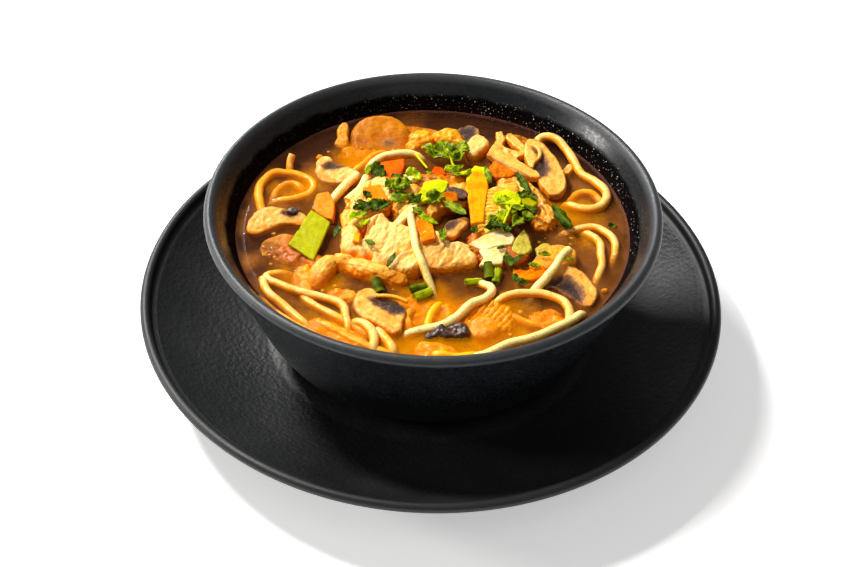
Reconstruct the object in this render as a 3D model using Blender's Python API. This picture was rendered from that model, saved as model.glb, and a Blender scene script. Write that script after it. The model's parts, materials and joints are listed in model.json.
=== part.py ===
"""Tom yum soup in a black stoneware bowl on its matching plate.

Sizes are in millimetres and become metres where a mesh is made.  The origin
is on the table under the middle of the plate, +Z is up, and -Y is the side
that the eater sits at.  Heights of food are given above the broth's surface.
"""
import math

import bmesh
import bpy
from mathutils import Euler, Matrix, Vector, noise

MM = 0.001
GAP = 0.3                  # clear space kept between neighbouring solids

# Plate
PLATE_RADIUS = 119.6
PLATE_BEAD_RADIUS = 2.0
PLATE_BEAD_HEIGHT = 28.5   # middle of the rounded rim
PLATE_WELL_RADIUS = 71.0
PLATE_WELL_HEIGHT = 7.0
PLATE_FOOT_RADIUS = 68.0
PLATE_FOOT_WIDTH = 6.0
PLATE_FOOT_HEIGHT = 2.4

# Bowl
BOWL_BASE_HEIGHT = PLATE_WELL_HEIGHT + GAP
BOWL_BASE_RADIUS = 51.1
BOWL_FOOT_WIDTH = 6.0
BOWL_FOOT_RECESS = 1.8
BOWL_RADIUS = 90.0
BOWL_LIP_RADIUS = 2.5
BOWL_LIP_HEIGHT = 70.5     # middle of the rounded lip
BOWL_FLOOR_HEIGHT = 13.3
BOWL_FLOOR_RADIUS = 42.0

# Contents
BROTH_HEIGHT = 58.8
BROTH_WALL_GAP = 0.4
NOODLE_RADIUS = 1.9
NOODLE_STEP = 6.6
NOODLE_SIDES = 6
SLICE_THICKNESS = 3.2

TURN_STEPS = 36
WALL_STEPS = 5

# Each finish: linear colour, roughness
FINISHES = {
    "stoneware": ((0.012, 0.013, 0.014), 0.42),
    "broth": ((0.42, 0.15, 0.035), 0.10),
    "noodle": ((0.85, 0.56, 0.22), 0.35),
    "chicken": ((0.83, 0.52, 0.20), 0.55),
    "mushroom": ((0.78, 0.48, 0.19), 0.45),
    "leek": ((0.52, 0.60, 0.04), 0.35),
    "carrot": ((0.90, 0.33, 0.02), 0.35),
    "pepper": ((0.75, 0.10, 0.01), 0.30),
    "onion": ((0.84, 0.76, 0.42), 0.40),
    "chive": ((0.10, 0.22, 0.01), 0.40),
}

# Noodles: points along the middle, (x, y, height above the broth)
NOODLES = {
    "noodle_long_top": [(-9, -4, 7.6), (-8, -11, 7.9), (-7, -18, 7.9), (-6, -24, 7.2),
                        (-4, -29, 5.8), (-2, -33, 3.0), (0, -37, 0.0)],
    "noodle_right_top": [(53, -19, 4.9), (50, -23, 5.4), (47, -29, 4.7), (44, -33, 3.3),
                         (41, -36, 1.8), (39, -38, 0.4)],
    "noodle_left_loop": [(-70, 8, 0.0), (-72, 19, 0.6), (-70, 26, 1.0), (-67, 30, 1.0),
                         (-62, 31, 0.4), (-56, 30, -0.3), (-51, 26, -0.4), (-51, 19, -0.5),
                         (-56, 15, -0.6), (-65, 13, -1.6)],
    "noodle_left_stub": [(-61, 34, 0.2), (-61, 36, 2.0), (-60, 38, 4.5)],
    "noodle_heap_outer": [(-32, 29, 1.7), (-37, 21, 1.5), (-41, 13, 0.9)],
    "noodle_heap_inner": [(-28, 26, 2.6), (-30, 19, 2.4), (-35, 11, 1.8)],
    "noodle_back_arc": [(-25, 41, 0.2), (-22, 43, 1.0), (-18, 44, 1.5), (-13, 45, 1.5),
                        (-9, 45, 1.0)],
    "noodle_right_coil": [(43, 52, 1.6), (46, 57, 3.0), (51, 56, 3.8), (56, 50, 2.4),
                          (59, 44, 1.0), (62, 35, 0.6), (67, 30, 0.7), (71, 23, 1.0),
                          (70, 16, 1.0), (66, 12, 0.9), (60, 12, 0.5), (55, 15, -0.6)],
    "noodle_right_arc": [(56, -1, -0.4), (60, 0, 0.4), (65, 0, 0.8), (69, -3, 0.9),
                         (72, -8, 0.8), (72, -13, -0.2)],
    "noodle_right_bar": [(63, -4, -0.2), (66, -9, 0.5), (66, -16, 0.6), (66, -22, 0.4),
                         (64, -28, -0.8)],
    "noodle_front_wave": [(20, -35, 0.2), (23, -38, 1.0), (21, -43, 1.1), (15, -47, 1.0),
                          (10, -54, 1.0), (4, -59, 1.0), (-4, -61, 0.2)],
    "noodle_front_arc": [(25, -44, -0.3), (30, -41, 0.8), (37, -40, 1.0), (45, -41, 1.0),
                         (51, -46, 0.9), (51, -54, -0.3)],
    "noodle_front_rim": [(22, -71, 0.2), (29, -67, 1.0), (37, -64, 1.0), (45, -59, 1.0),
                         (52, -54, 0.7), (56, -50, 0.2)],
    "noodle_front_left": [(-59, -31, -1.0), (-63, -34, -0.2), (-58, -38, 0.5),
                          (-50, -42, 0.8), (-41, -45, 1.0), (-33, -49, 1.0),
                          (-31, -55, 0.4), (-30, -59, -0.4)],
    "noodle_left_rim": [(-64, -36, 0.2), (-62, -42, 0.8), (-56, -48, 0.4), (-50, -54, -0.4)],
    "noodle_front_hook": [(-25, -58, 0.2), (-22, -61, 0.8), (-20, -66, 0.8), (-20, -70, 0.2)],
}

# Chicken: torn chunks, (middle x, y, top height), (length, width, thickness),
# heading in degrees, rise of the far end in degrees, squareness (1 is round)
CHICKEN = {
    "chicken_centre": ((-17, -16, 7.2), (29, 23, 9.5), 12, 3, 0.70),
    "chicken_right": ((6, -20, 6.8), (24, 14, 9.5), -14, -6, 0.72),
    "chicken_roll": ((-24, -30, 5.6), (26, 10, 8.0), -16, 2, 0.80),
    "chicken_oval": ((-43, -34, 5.0), (13, 10, 8.0), 66, 4, 0.95),
    "chicken_pale_left": ((-33, -15, 6.0), (13, 6, 7.0), 86, 2, 0.60),
    "chicken_ribbed": ((27, 6, 7.4), (29, 13, 8.5), 70, 2, 0.60),
    "chicken_strip": ((43, 11, 5.0), (26, 8, 7.0), -68, -8, 0.65),
    "chicken_pale_back": ((18, 49, 5.2), (14, 8, 8.0), 52, 6, 0.62),
    "chicken_back_left": ((-5, 55, 4.0), (12, 11, 8.0), 30, 0, 0.90),
    "chicken_back_right": ((6, 55, 5.0), (12, 11, 8.5), 10, 2, 0.90),
}

# Mushroom slices: (middle of the gill line x, y, top height), cap width, cap
# depth, stem width, stem length, heading of the stem, (pitch, roll) in degrees
MUSHROOMS = {
    "mushroom_right_back": ((44, 33, 5.8), 27, 10, 6, 4, 196, (0, -14)),
    "mushroom_right": ((52, -35, 2.6), 23, 11, 7, 0, 212, (-4, 3)),
    "mushroom_yellow": ((47, -22, 2.5), 19, 9, 7, 0, 274, (5, 0)),
    "mushroom_left": ((-63, -3, 2.6), 16, 9, 8, 11, 10, (-4, 8)),
    "mushroom_left_rear": ((-43, 33, 2.0), 18, 10, 8, 8, 106, (4, 0)),
    "mushroom_front": ((-19, -50, 2.4), 24, 10, 7, 0, 30, (-5, 0)),
    "mushroom_back": ((10, 57, 4.8), 12, 7, 5, 0, 300, (8, 0)),
    "mushroom_small": ((9, -2, 3.4), 12, 6, 4, 3, 130, (8, 0)),
    "mushroom_sunk_front": ((9, -62, 0.8), 13, 6, 5, 0, 95, (3, 0)),
}
CAP_BACK = ((-25, 57, 6.2), (27, 17, 9.0), 4, 6, 1.0)

# The sliced stem with two torn arms, seen from above, and where it lies
STEM_SLICE_OUTLINE = [(12.0, -4.0), (12.0, 4.0), (2.5, 4.2), (-10.6, 11.0), (-12.2, 8.6),
                      (-3.0, 4.2), (-10.4, 4.0), (-15.8, 9.4), (-18.4, 7.6), (-12.6, -3.6)]
STEM_SLICE = ((31, 41, 3.4), -50, (4, 2))
STEM_STRIP = ((-41, 55, 3.2), (15, 5), 82, 10)

# Cut vegetables: (middle x, y, top height), (length, width, thickness), heading,
# (pitch, roll), far end's width over the near end's, skew in degrees, finish
VEGETABLES = {
    "leek_square": ((-48, -10, 3.2), (22, 11, 1.4), 74, (2, 6), 1.0, 24, "leek"),
    "leek_strip": ((-3, 14, 5.0), (26, 6, 1.8), 62, (-11, 0), 1.7, 0, "leek"),
    "leek_light": ((17, 30, 2.8), (13, 8, 2.6), 44, (-4, 4), 0.8, 0, "leek"),
    "leek_white": ((-12, -3, 7.8), (12, 4.5, 3.2), 57, (-2, 0), 0.8, 0, "onion"),
    "yellow_wedge": ((17, 12, 4.0), (34, 6.5, 4.2), 92, (0, 0), 0.5, 0, "carrot"),
    "carrot_centre": ((-2, -14, 7.0), (14, 7, 2.2), 100, (2, 0), 1.0, 8, "carrot"),
    "carrot_left": ((-45, 9, 2.2), (15, 7, 2.4), 96, (-3, 0), 0.8, 0, "carrot"),
    "carrot_heap": ((-24, 13, 3.8), (12, 8, 4.4), 112, (-4, 0), 0.8, 10, "carrot"),
    "carrot_back": ((29, 31, 3.2), (12, 10, 3.6), 60, (0, 4), 0.8, 0, "carrot"),
    "carrot_front": ((38, -29, 2.0), (13, 4.5, 2.4), -4, (2, 0), 0.8, 0, "carrot"),
    "pepper_red": ((-18, 33, 3.0), (17, 11, 3.4), -92, (4, 0), 0.35, 0, "pepper"),
    "pepper_small": ((2, 30, 2.4), (7, 5, 2.8), 100, (0, 0), 0.4, 0, "pepper"),
    "onion_upper": ((23, -11, 3.4), (16, 8, 3.6), 24, (3, -6), 0.8, 0, "onion"),
    "onion_lower": ((23, -20, 2.4), (9, 8, 2.6), -8, (0, 8), 1.0, 12, "onion"),
    "onion_right": ((36, -12, 3.0), (13, 7, 3.0), 78, (4, 0), 0.4, 0, "onion"),
}

# Spring onion: cut lengths of green tube, (x, y, top), (length, width), heading, pitch
CHIVES = {
    "chive_front": ((-4, -41, 2.2), (7, 4.2), 28, 4),
    "chive_left": ((-20, -41, 4.0), (8, 4.0), -78, -6),
    "chive_ring": ((24, -30, 2.4), (8, 5.0), -84, -10),
    "chive_right": ((16, -35, 1.8), (7, 3.2), 6, 0),
}


def clear_scene():
    """Start from an empty scene."""
    for item in list(bpy.data.objects):
        bpy.data.objects.remove(item, do_unlink=True)


def finish_material(slot):
    """Return the Principled material of one finish, made once."""
    material = bpy.data.materials.get(slot)
    if material:
        return material
    colour, roughness = FINISHES[slot]
    material = bpy.data.materials.new(slot)
    material.use_nodes = True
    shader = material.node_tree.nodes["Principled BSDF"]
    shader.inputs["Base Color"].default_value = (*colour, 1.0)
    shader.inputs["Roughness"].default_value = roughness
    return material


def add_object(name, mesh_data, slot, smooth=True):
    """Turn an edit mesh in millimetres into a named object in metres."""
    bmesh.ops.scale(mesh_data, vec=(MM, MM, MM), verts=mesh_data.verts)
    bmesh.ops.recalc_face_normals(mesh_data, faces=mesh_data.faces)
    mesh = bpy.data.meshes.new(name)
    mesh_data.to_mesh(mesh)
    mesh_data.free()
    mesh.materials.append(finish_material(slot))
    if smooth:
        mesh.shade_smooth()
        mesh.set_sharp_from_angle(angle=math.radians(40))
    item = bpy.data.objects.new(name, mesh)
    bpy.context.scene.collection.objects.link(item)
    return item


# ---------------------------------------------------------------- turned ware

def bezier(p0, p1, p2, p3, steps):
    """Return steps + 1 points along a cubic curve in (radius, height)."""
    points = []
    for i in range(steps + 1):
        t = i / steps
        weights = ((1 - t) ** 3, 3 * t * (1 - t) ** 2, 3 * t * t * (1 - t), t ** 3)
        points.append(tuple(sum(w * p[k] for w, p in zip(weights, (p0, p1, p2, p3)))
                            for k in (0, 1)))
    return points


def arc(centre, radius, start, end, steps):
    """Return steps + 1 points of an arc; angles in degrees from outward."""
    points = []
    for i in range(steps + 1):
        angle = math.radians(start + (end - start) * i / steps)
        points.append((centre[0] + radius * math.cos(angle),
                       centre[1] + radius * math.sin(angle)))
    return points


def turn(profile):
    """Spin an open (radius, height) profile, axis to axis, into a closed body."""
    data = bmesh.new()
    verts = [data.verts.new((r, 0.0, z)) for r, z in profile]
    edges = [data.edges.new(pair) for pair in zip(verts, verts[1:])]
    bmesh.ops.spin(data, geom=verts + edges, cent=(0, 0, 0), axis=(0, 0, 1),
                   angle=math.tau, steps=TURN_STEPS, use_merge=True, use_duplicate=False)
    bmesh.ops.remove_doubles(data, verts=data.verts, dist=0.001)
    return data


def inner_wall():
    """Return the bowl's inner outline, from the lip down to the floor."""
    return bezier((BOWL_RADIUS - 2 * BOWL_LIP_RADIUS, BOWL_LIP_HEIGHT), (69.0, 48.0),
                  (70.0, BOWL_FLOOR_HEIGHT), (BOWL_FLOOR_RADIUS, BOWL_FLOOR_HEIGHT),
                  WALL_STEPS)


def wall_radius(height, inset=0.0):
    """Return the radius of the bowl's inner wall at a height."""
    wall = inner_wall()
    for (r1, z1), (r0, z0) in zip(wall, wall[1:]):
        if z0 <= height <= z1:
            return r0 + (r1 - r0) * (height - z0) / (z1 - z0) - inset
    raise ValueError("height is outside the bowl")


def plate_profile():
    """Top from the middle out, over the beaded rim, and back underneath."""
    bead = (PLATE_RADIUS - PLATE_BEAD_RADIUS, PLATE_BEAD_HEIGHT)
    slope_end = (bead[0] - PLATE_BEAD_RADIUS - 0.6, PLATE_BEAD_HEIGHT - 1.4)
    top = bezier((PLATE_WELL_RADIUS, PLATE_WELL_HEIGHT), (87.0, 9.0), (105.0, 18.5),
                 slope_end, 5)
    rim = arc(bead, PLATE_BEAD_RADIUS, 165, -60, 4)
    foot_out = PLATE_FOOT_RADIUS + PLATE_FOOT_WIDTH
    under = bezier((bead[0] - 1.0, PLATE_BEAD_HEIGHT - 4.4), (103.0, 13.0),
                   (90.0, 5.0), (foot_out + 2.0, PLATE_FOOT_HEIGHT), 3)
    foot = [(foot_out, 0.0), (PLATE_FOOT_RADIUS, 0.0),
            (PLATE_FOOT_RADIUS - 1.5, PLATE_FOOT_HEIGHT)]
    return ([(0.0, PLATE_WELL_HEIGHT)] + top + rim + under + foot
            + [(0.0, PLATE_FOOT_HEIGHT)])


def bowl_profile():
    """Floor from the middle out, up the wall, over the lip and down outside."""
    lip = (BOWL_RADIUS - BOWL_LIP_RADIUS, BOWL_LIP_HEIGHT)
    inside = inner_wall()[::-1]
    over = arc(lip, BOWL_LIP_RADIUS, 150, -30, 4)
    outside = bezier((88.6, 66.5), (74.9, 40.4), (73.1, BOWL_BASE_HEIGHT),
                     (BOWL_BASE_RADIUS, BOWL_BASE_HEIGHT), WALL_STEPS)
    foot_in = BOWL_BASE_RADIUS - BOWL_FOOT_WIDTH
    recess = BOWL_BASE_HEIGHT + BOWL_FOOT_RECESS
    return ([(0.0, BOWL_FLOOR_HEIGHT)] + inside + over + outside
            + [(foot_in, BOWL_BASE_HEIGHT), (foot_in - 1.2, recess), (0.0, recess)])


def broth_profile():
    """The broth's flat surface and its outline down along the wall."""
    points = [(0.0, BROTH_HEIGHT), (wall_radius(BROTH_HEIGHT, BROTH_WALL_GAP), BROTH_HEIGHT)]
    for radius, height in inner_wall()[1:]:
        if height < BROTH_HEIGHT - 1.0:
            points.append((radius - BROTH_WALL_GAP, height + BROTH_WALL_GAP))
    return points + [(0.0, BOWL_FLOOR_HEIGHT + BROTH_WALL_GAP)]


# ----------------------------------------------------------------------- food

def place(data, middle, heading, pitch=0.0, roll=0.0):
    """Turn a piece made flat at the origin, then set its top at a height."""
    turned = Euler((math.radians(roll), math.radians(-pitch), 0)).to_matrix().to_4x4()
    turned = Matrix.Rotation(math.radians(heading), 4, "Z") @ turned
    shift = Matrix.Translation((middle[0], middle[1], BROTH_HEIGHT + middle[2]))
    bmesh.ops.transform(data, matrix=shift @ turned, verts=data.verts)


def smooth_path(points, step):
    """Return evenly spaced points on a smooth curve through the given ones."""
    knots = [Vector(p) for p in points]
    knots = [2 * knots[0] - knots[1]] + knots + [2 * knots[-1] - knots[-2]]
    fine = []
    for a, b, c, d in zip(knots, knots[1:], knots[2:], knots[3:]):
        for i in range(12):
            t = i / 12
            fine.append(0.5 * (2 * b + (c - a) * t + (2 * a - 5 * b + 4 * c - d) * t * t
                               + (3 * b - a - 3 * c + d) * t ** 3))
    fine.append(knots[-2])
    length = sum((b - a).length for a, b in zip(fine, fine[1:]))
    count = max(2, round(length / step))
    path, walked, target = [fine[0]], 0.0, length / count
    for a, b in zip(fine, fine[1:]):
        walked += (b - a).length
        if walked >= target - 1e-6 and len(path) < count:
            path.append(b)
            target += length / count
    path.append(fine[-1])
    return path


def noodle(points):
    """A round strand along a smooth path, with flat cut ends."""
    path = [p + Vector((0, 0, BROTH_HEIGHT)) for p in smooth_path(points, NOODLE_STEP)]
    data = bmesh.new()
    rings = []
    for i, middle in enumerate(path):
        along = (path[min(i + 1, len(path) - 1)] - path[max(i - 1, 0)]).normalized()
        side = along.cross(Vector((0, 0, 1))).normalized()
        over = side.cross(along)
        ring = []
        for k in range(NOODLE_SIDES):
            angle = math.tau * (k + 0.5) / NOODLE_SIDES
            offset = side * math.cos(angle) + over * math.sin(angle)
            ring.append(data.verts.new(middle + offset * NOODLE_RADIUS))
        rings.append(ring)
    for low, high in zip(rings, rings[1:]):
        for k in range(NOODLE_SIDES):
            after = (k + 1) % NOODLE_SIDES
            data.faces.new((low[k], low[after], high[after], high[k]))
    data.faces.new(rings[0][::-1])
    data.faces.new(rings[-1])
    return data


def chunk(middle, size, heading, pitch, squareness):
    """A torn lump: a round body squared off and made uneven."""
    data = bmesh.new()
    bmesh.ops.create_icosphere(data, subdivisions=2, radius=1.0)
    seed = Vector((middle[0] * 0.37, middle[1] * 0.41, 5.0))
    for vert in data.verts:
        squared = Vector([math.copysign(abs(c) ** squareness, c) for c in vert.co])
        uneven = 1.0 + 0.10 * noise.noise(squared * 1.7 + seed)
        vert.co = Vector([c * s * 0.5 for c, s in zip(squared, size)]) * uneven
    place(data, (middle[0], middle[1], middle[2] - size[2] * 0.5), heading, pitch)
    return data


def extrude_outline(outline, thickness):
    """A flat piece of even thickness below its outline, its top at zero."""
    data = bmesh.new()
    face = data.faces.new([data.verts.new((x, y, 0.0)) for x, y in outline])
    grown = bmesh.ops.extrude_face_region(data, geom=[face])["geom"]
    low = [part for part in grown if isinstance(part, bmesh.types.BMVert)]
    bmesh.ops.translate(data, vec=(0, 0, -thickness), verts=low)
    return data


def mushroom_outline(cap_width, cap_depth, stem_width, stem_length):
    """A sliced mushroom from the side: cap towards -X, stem towards +X."""
    half = cap_width / 2
    outline = []
    for i in range(9):
        angle = math.pi * i / 8
        outline.append((-cap_depth * math.sin(angle) ** 0.85, half * math.cos(angle)))
    margin = cap_depth * 0.16
    stem = stem_width / 2
    lower = [(margin, -half * 0.82), (-margin, -stem - 0.8)]
    if stem_length:
        lower += [(stem_length * 0.5, -stem * 0.85), (stem_length, -stem * 1.1)]
    upper = [(x, -y) for x, y in reversed(lower)]
    return outline + lower + upper


def mushroom(middle, cap_width, cap_depth, stem_width, stem_length, heading, tilt):
    """One slice, tilted as it lies in the soup."""
    outline = mushroom_outline(cap_width, cap_depth, stem_width, stem_length)
    data = extrude_outline(outline, SLICE_THICKNESS)
    place(data, middle, heading, *tilt)
    return data


def cut_outline(length, width, far_ratio, skew):
    """Four corners and slightly bowed long sides."""
    near, far = width / 2, width * far_ratio / 2
    lean = math.tan(math.radians(skew)) * width / 2
    middle = (near + far) / 2 * 1.04
    return [(-length / 2 + lean, -near), (lean * 0.5, -middle), (length / 2 + lean, -far),
            (length / 2 - lean, far), (-lean * 0.5, middle), (-length / 2 - lean, near)]


def vegetable(middle, size, heading, tilt, far_ratio, skew):
    """A knife-cut piece with straight edges."""
    data = extrude_outline(cut_outline(size[0], size[1], far_ratio, skew), size[2])
    place(data, middle, heading, *tilt)
    return data


def chive(middle, size, heading, pitch):
    """A short length of green stem, eight-sided and a little flattened."""
    data = bmesh.new()
    bmesh.ops.create_cone(data, cap_ends=True, segments=8, radius1=size[1] / 2,
                          radius2=size[1] / 2, depth=size[0])
    bmesh.ops.rotate(data, cent=(0, 0, 0), matrix=Matrix.Rotation(math.pi / 2, 3, "Y"),
                     verts=data.verts)
    bmesh.ops.scale(data, vec=(1, 1, 0.8), verts=data.verts)
    place(data, (middle[0], middle[1], middle[2] - size[1] * 0.4), heading, pitch)
    return data


# ------------------------------------------------------------- fitting pieces

def bounds(item):
    """Lowest and highest corner of a mesh object that has no transform."""
    places = [vert.co for vert in item.data.vertices]
    low = Vector([min(p[k] for p in places) for k in range(3)])
    high = Vector([max(p[k] for p in places) for k in range(3)])
    return low, high


def may_touch(one, other, margin):
    """Whether two objects' boxes come within a margin of each other."""
    low_a, high_a = bounds(one)
    low_b, high_b = bounds(other)
    return all(low_a[k] - margin < high_b[k] and low_b[k] - margin < high_a[k]
               for k in range(3))


def grown_copy(item, distance):
    """A copy whose faces stand outwards by a distance."""
    data = bmesh.new()
    data.from_mesh(item.data)
    data.normal_update()
    moves = [(v, v.normal * distance * min(v.calc_shell_factor(), 1.6)) for v in data.verts]
    for vert, move in moves:
        vert.co += move
    mesh = bpy.data.meshes.new("cutter")
    data.to_mesh(mesh)
    data.free()
    copy = bpy.data.objects.new("cutter", mesh)
    bpy.context.scene.collection.objects.link(copy)
    return copy


def cut_away(item, other):
    """Take another object's body away from an object."""
    modifier = item.modifiers.new("fit", "BOOLEAN")
    modifier.operation = "DIFFERENCE"
    modifier.solver = "EXACT"
    modifier.object = other
    graph = bpy.context.evaluated_depsgraph_get()
    mesh = bpy.data.meshes.new_from_object(item.evaluated_get(graph))
    item.modifiers.clear()
    old = item.data
    item.data = mesh
    mesh.name = item.name
    bpy.data.meshes.remove(old)


def keep_largest(item):
    """Drop the loose crumbs that a cut may leave, and weld the seams."""
    data = bmesh.new()
    data.from_mesh(item.data)
    bmesh.ops.remove_doubles(data, verts=data.verts, dist=0.02 * MM)
    bmesh.ops.dissolve_degenerate(data, edges=data.edges, dist=0.02 * MM)
    islands, seen = [], set()
    for start in data.faces:
        if start in seen:
            continue
        island, queue = set(), [start]
        while queue:
            face = queue.pop()
            if face in island:
                continue
            island.add(face)
            queue += [near for edge in face.edges for near in edge.link_faces]
        seen |= island
        islands.append(island)
    keep = max(islands, key=lambda island: sum(face.calc_area() for face in island))
    loose = [face for face in data.faces if face not in keep]
    bmesh.ops.delete(data, geom=loose, context="FACES")
    data.to_mesh(item.data)
    data.free()


def fit_together(pieces):
    """Cut each piece clear of those listed before it, which lie on top."""
    cutters = [grown_copy(item, GAP * MM) for item in pieces]
    for i, item in enumerate(pieces):
        near = [cutter for cutter in cutters[:i] if may_touch(item, cutter, 0.0)]
        for cutter in near:
            cut_away(item, cutter)
        if near:
            keep_largest(item)
    for cutter in cutters:
        bpy.data.objects.remove(cutter, do_unlink=True)


def stem_slice():
    """The sliced stem, cut from one flat piece."""
    middle, heading, tilt = STEM_SLICE
    data = extrude_outline(STEM_SLICE_OUTLINE, SLICE_THICKNESS)
    place(data, middle, heading, *tilt)
    return add_object("mushroom_stem_slice", data, "mushroom", smooth=False)


def stem_strip():
    """The loose strip of stem beside the round cap."""
    middle, size, heading, pitch = STEM_STRIP
    data = extrude_outline(cut_outline(size[0], size[1], 0.8, 0), SLICE_THICKNESS)
    place(data, middle, heading, pitch)
    return add_object("mushroom_stem_strip", data, "mushroom", smooth=False)


def make_food():
    """Make every piece of food, in order from the top of the heap down."""
    pieces = []
    for name in ("noodle_long_top", "noodle_right_top"):
        pieces.append(add_object(name, noodle(NOODLES[name]), "noodle"))
    for name, (middle, size, heading, pitch) in CHIVES.items():
        pieces.append(add_object(name, chive(middle, size, heading, pitch), "chive"))
    for name, (*shape, slot) in VEGETABLES.items():
        pieces.append(add_object(name, vegetable(*shape), slot, smooth=False))
    pieces.append(stem_slice())
    for name, shape in MUSHROOMS.items():
        pieces.append(add_object(name, mushroom(*shape), "mushroom", smooth=False))
    pieces.append(stem_strip())
    for name, points in NOODLES.items():
        if not name.endswith("_top"):
            pieces.append(add_object(name, noodle(points), "noodle"))
    pieces.append(add_object("mushroom_cap_back", chunk(*CAP_BACK), "mushroom"))
    for name, shape in CHICKEN.items():
        pieces.append(add_object(name, chunk(*shape), "chicken"))
    return pieces


def main():
    """Build the ware, the food and the broth that is cut round it."""
    clear_scene()
    add_object("plate", turn(plate_profile()), "stoneware")
    add_object("bowl", turn(bowl_profile()), "stoneware")
    food = make_food()
    broth = add_object("broth", turn(broth_profile()), "broth")
    fit_together(food + [broth])


main()
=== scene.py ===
"""Tom yum soup in a satin black bowl on its plate: the looks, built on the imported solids.

Sizes are millimetres.  Heights of food are above the broth's surface.
"""

import json
import math
import random

import bpy
from mathutils import Euler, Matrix, Vector, kdtree, noise

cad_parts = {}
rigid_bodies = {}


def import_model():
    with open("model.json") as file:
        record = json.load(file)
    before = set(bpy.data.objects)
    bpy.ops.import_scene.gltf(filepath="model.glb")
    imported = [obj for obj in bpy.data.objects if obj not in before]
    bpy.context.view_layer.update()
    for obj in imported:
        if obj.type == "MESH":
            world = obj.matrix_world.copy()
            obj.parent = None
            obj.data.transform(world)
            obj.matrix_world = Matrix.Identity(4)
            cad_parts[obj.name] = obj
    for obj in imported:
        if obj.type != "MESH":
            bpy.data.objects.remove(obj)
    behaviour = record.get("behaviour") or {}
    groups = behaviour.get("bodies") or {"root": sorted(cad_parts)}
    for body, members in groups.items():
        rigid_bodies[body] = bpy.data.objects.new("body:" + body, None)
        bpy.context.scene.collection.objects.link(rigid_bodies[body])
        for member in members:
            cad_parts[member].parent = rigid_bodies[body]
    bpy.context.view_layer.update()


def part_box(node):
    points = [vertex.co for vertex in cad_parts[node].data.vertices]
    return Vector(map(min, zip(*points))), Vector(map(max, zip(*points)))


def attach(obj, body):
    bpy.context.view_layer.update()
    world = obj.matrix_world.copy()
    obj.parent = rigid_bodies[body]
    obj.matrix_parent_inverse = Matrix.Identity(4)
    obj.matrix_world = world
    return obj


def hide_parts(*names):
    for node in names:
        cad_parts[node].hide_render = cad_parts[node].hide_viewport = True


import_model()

MM = 0.001
MAP_SIDE = 40.0                        # one side of the flat map
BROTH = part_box("broth")[1].z / MM      # height of the broth's surface
CHANCE = random.Random(7)
noise.seed_set(7)
WALL = ((85.0, 70.5), (69.0, 48.0), (70.0, 13.3), (42.0, 13.3))   # the bowl's inner wall


# ------------------------------------------------------------------ hand tools

def clamp(value):
    """A value kept from 0 to 1."""
    return min(max(value, 0.0), 1.0)


def turn_of(heading):
    """A turn about the upright axis by an angle in degrees."""
    return Euler((0, 0, math.radians(heading)))


def fresh():
    """Leave edit mode and select nothing."""
    if bpy.context.object and bpy.context.object.mode != "OBJECT":
        bpy.ops.object.mode_set(mode="OBJECT")
    bpy.ops.object.select_all(action="DESELECT")


def work_on(piece):
    """Make one piece the selected and active one."""
    fresh()
    piece.select_set(True)
    bpy.context.view_layer.objects.active = piece
    return piece


def start_edit():
    """Enter edit mode on the active piece, with all selected."""
    bpy.ops.object.mode_set(mode="EDIT")
    bpy.ops.mesh.select_all(action="SELECT")


def end_edit():
    """Leave edit mode."""
    bpy.ops.object.mode_set(mode="OBJECT")


def resize(x, y, z):
    """Resize the active piece about the origin, in its mesh."""
    start_edit()
    bpy.ops.transform.resize(value=(x, y, z), center_override=(0, 0, 0))
    end_edit()


def set_down(piece, place, rotation=None):
    """Move a piece to a place in mm, turned if a rotation is given, and put this into its mesh."""
    if rotation is not None:
        piece.rotation_euler = rotation
    piece.location = [c * MM for c in place]
    bpy.ops.object.transform_apply(location=True, rotation=True, scale=True)


def apply(kind, **settings):
    """Add one modifier to the active piece and apply it."""
    modifier = bpy.context.object.modifiers.new(kind.lower(), kind)
    for key, value in settings.items():
        setattr(modifier, key, value)
    bpy.ops.object.modifier_apply(modifier=modifier.name)


def smooth(rounds):
    """Smooth the active piece a number of times."""
    apply("SMOOTH", factor=0.5, iterations=rounds)


def dense(size):
    """Rebuild the active piece in small even faces, size mm across."""
    apply("REMESH", mode="VOXEL", voxel_size=size * MM, use_smooth_shade=True)


def curl(angle):
    """Bend the active flat piece along its length by an angle in degrees."""
    apply("SIMPLE_DEFORM", deform_method="BEND", deform_axis="Y", angle=math.radians(angle))


def round_edges(width, segments, angle):
    """Round the active piece's edges that are sharper than an angle."""
    apply("BEVEL", width=width * MM, segments=segments, limit_method="ANGLE",
          angle_limit=math.radians(angle))


def weld(distance=0.01):
    """Merge doubled vertices and turn all faces outwards."""
    start_edit()
    bpy.ops.mesh.remove_doubles(threshold=distance * MM)
    bpy.ops.mesh.normals_make_consistent(inside=False)
    end_edit()


def relief(scale, strength, stretch=1.0, kind="CLOUDS"):
    """Push the surface in and out by a pattern, drawn out along X if stretched."""
    texture = bpy.data.textures.new(f"relief_{kind.lower()}", kind)
    texture.noise_scale = scale * MM
    if stretch != 1.0:
        resize(1 / stretch, 1, 1)
    apply("DISPLACE", texture=texture, texture_coords="LOCAL", mid_level=0.5,
          strength=strength * MM)
    if stretch != 1.0:
        resize(stretch, 1, 1)


def keep_local_map(piece):
    """Store each point's place on the flat piece as its UV map."""
    layer = piece.data.uv_layers.new(name="flat")
    for loop in piece.data.loops:
        place = piece.data.vertices[loop.vertex_index].co / MM
        layer.data[loop.index].uv = (place.x / MAP_SIDE + 0.5, place.y / MAP_SIDE + 0.5)


def new_values(piece, name):
    """An empty value for each vertex, kept under a name."""
    return piece.data.attributes.new(name, "FLOAT", "POINT").data


def paint(piece, name, function):
    """Store a value from 0 to 1 at each vertex, worked out from its place in mm."""
    values = new_values(piece, name)
    for vertex in piece.data.vertices:
        values[vertex.index].value = clamp(function(vertex.co / MM))


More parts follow.
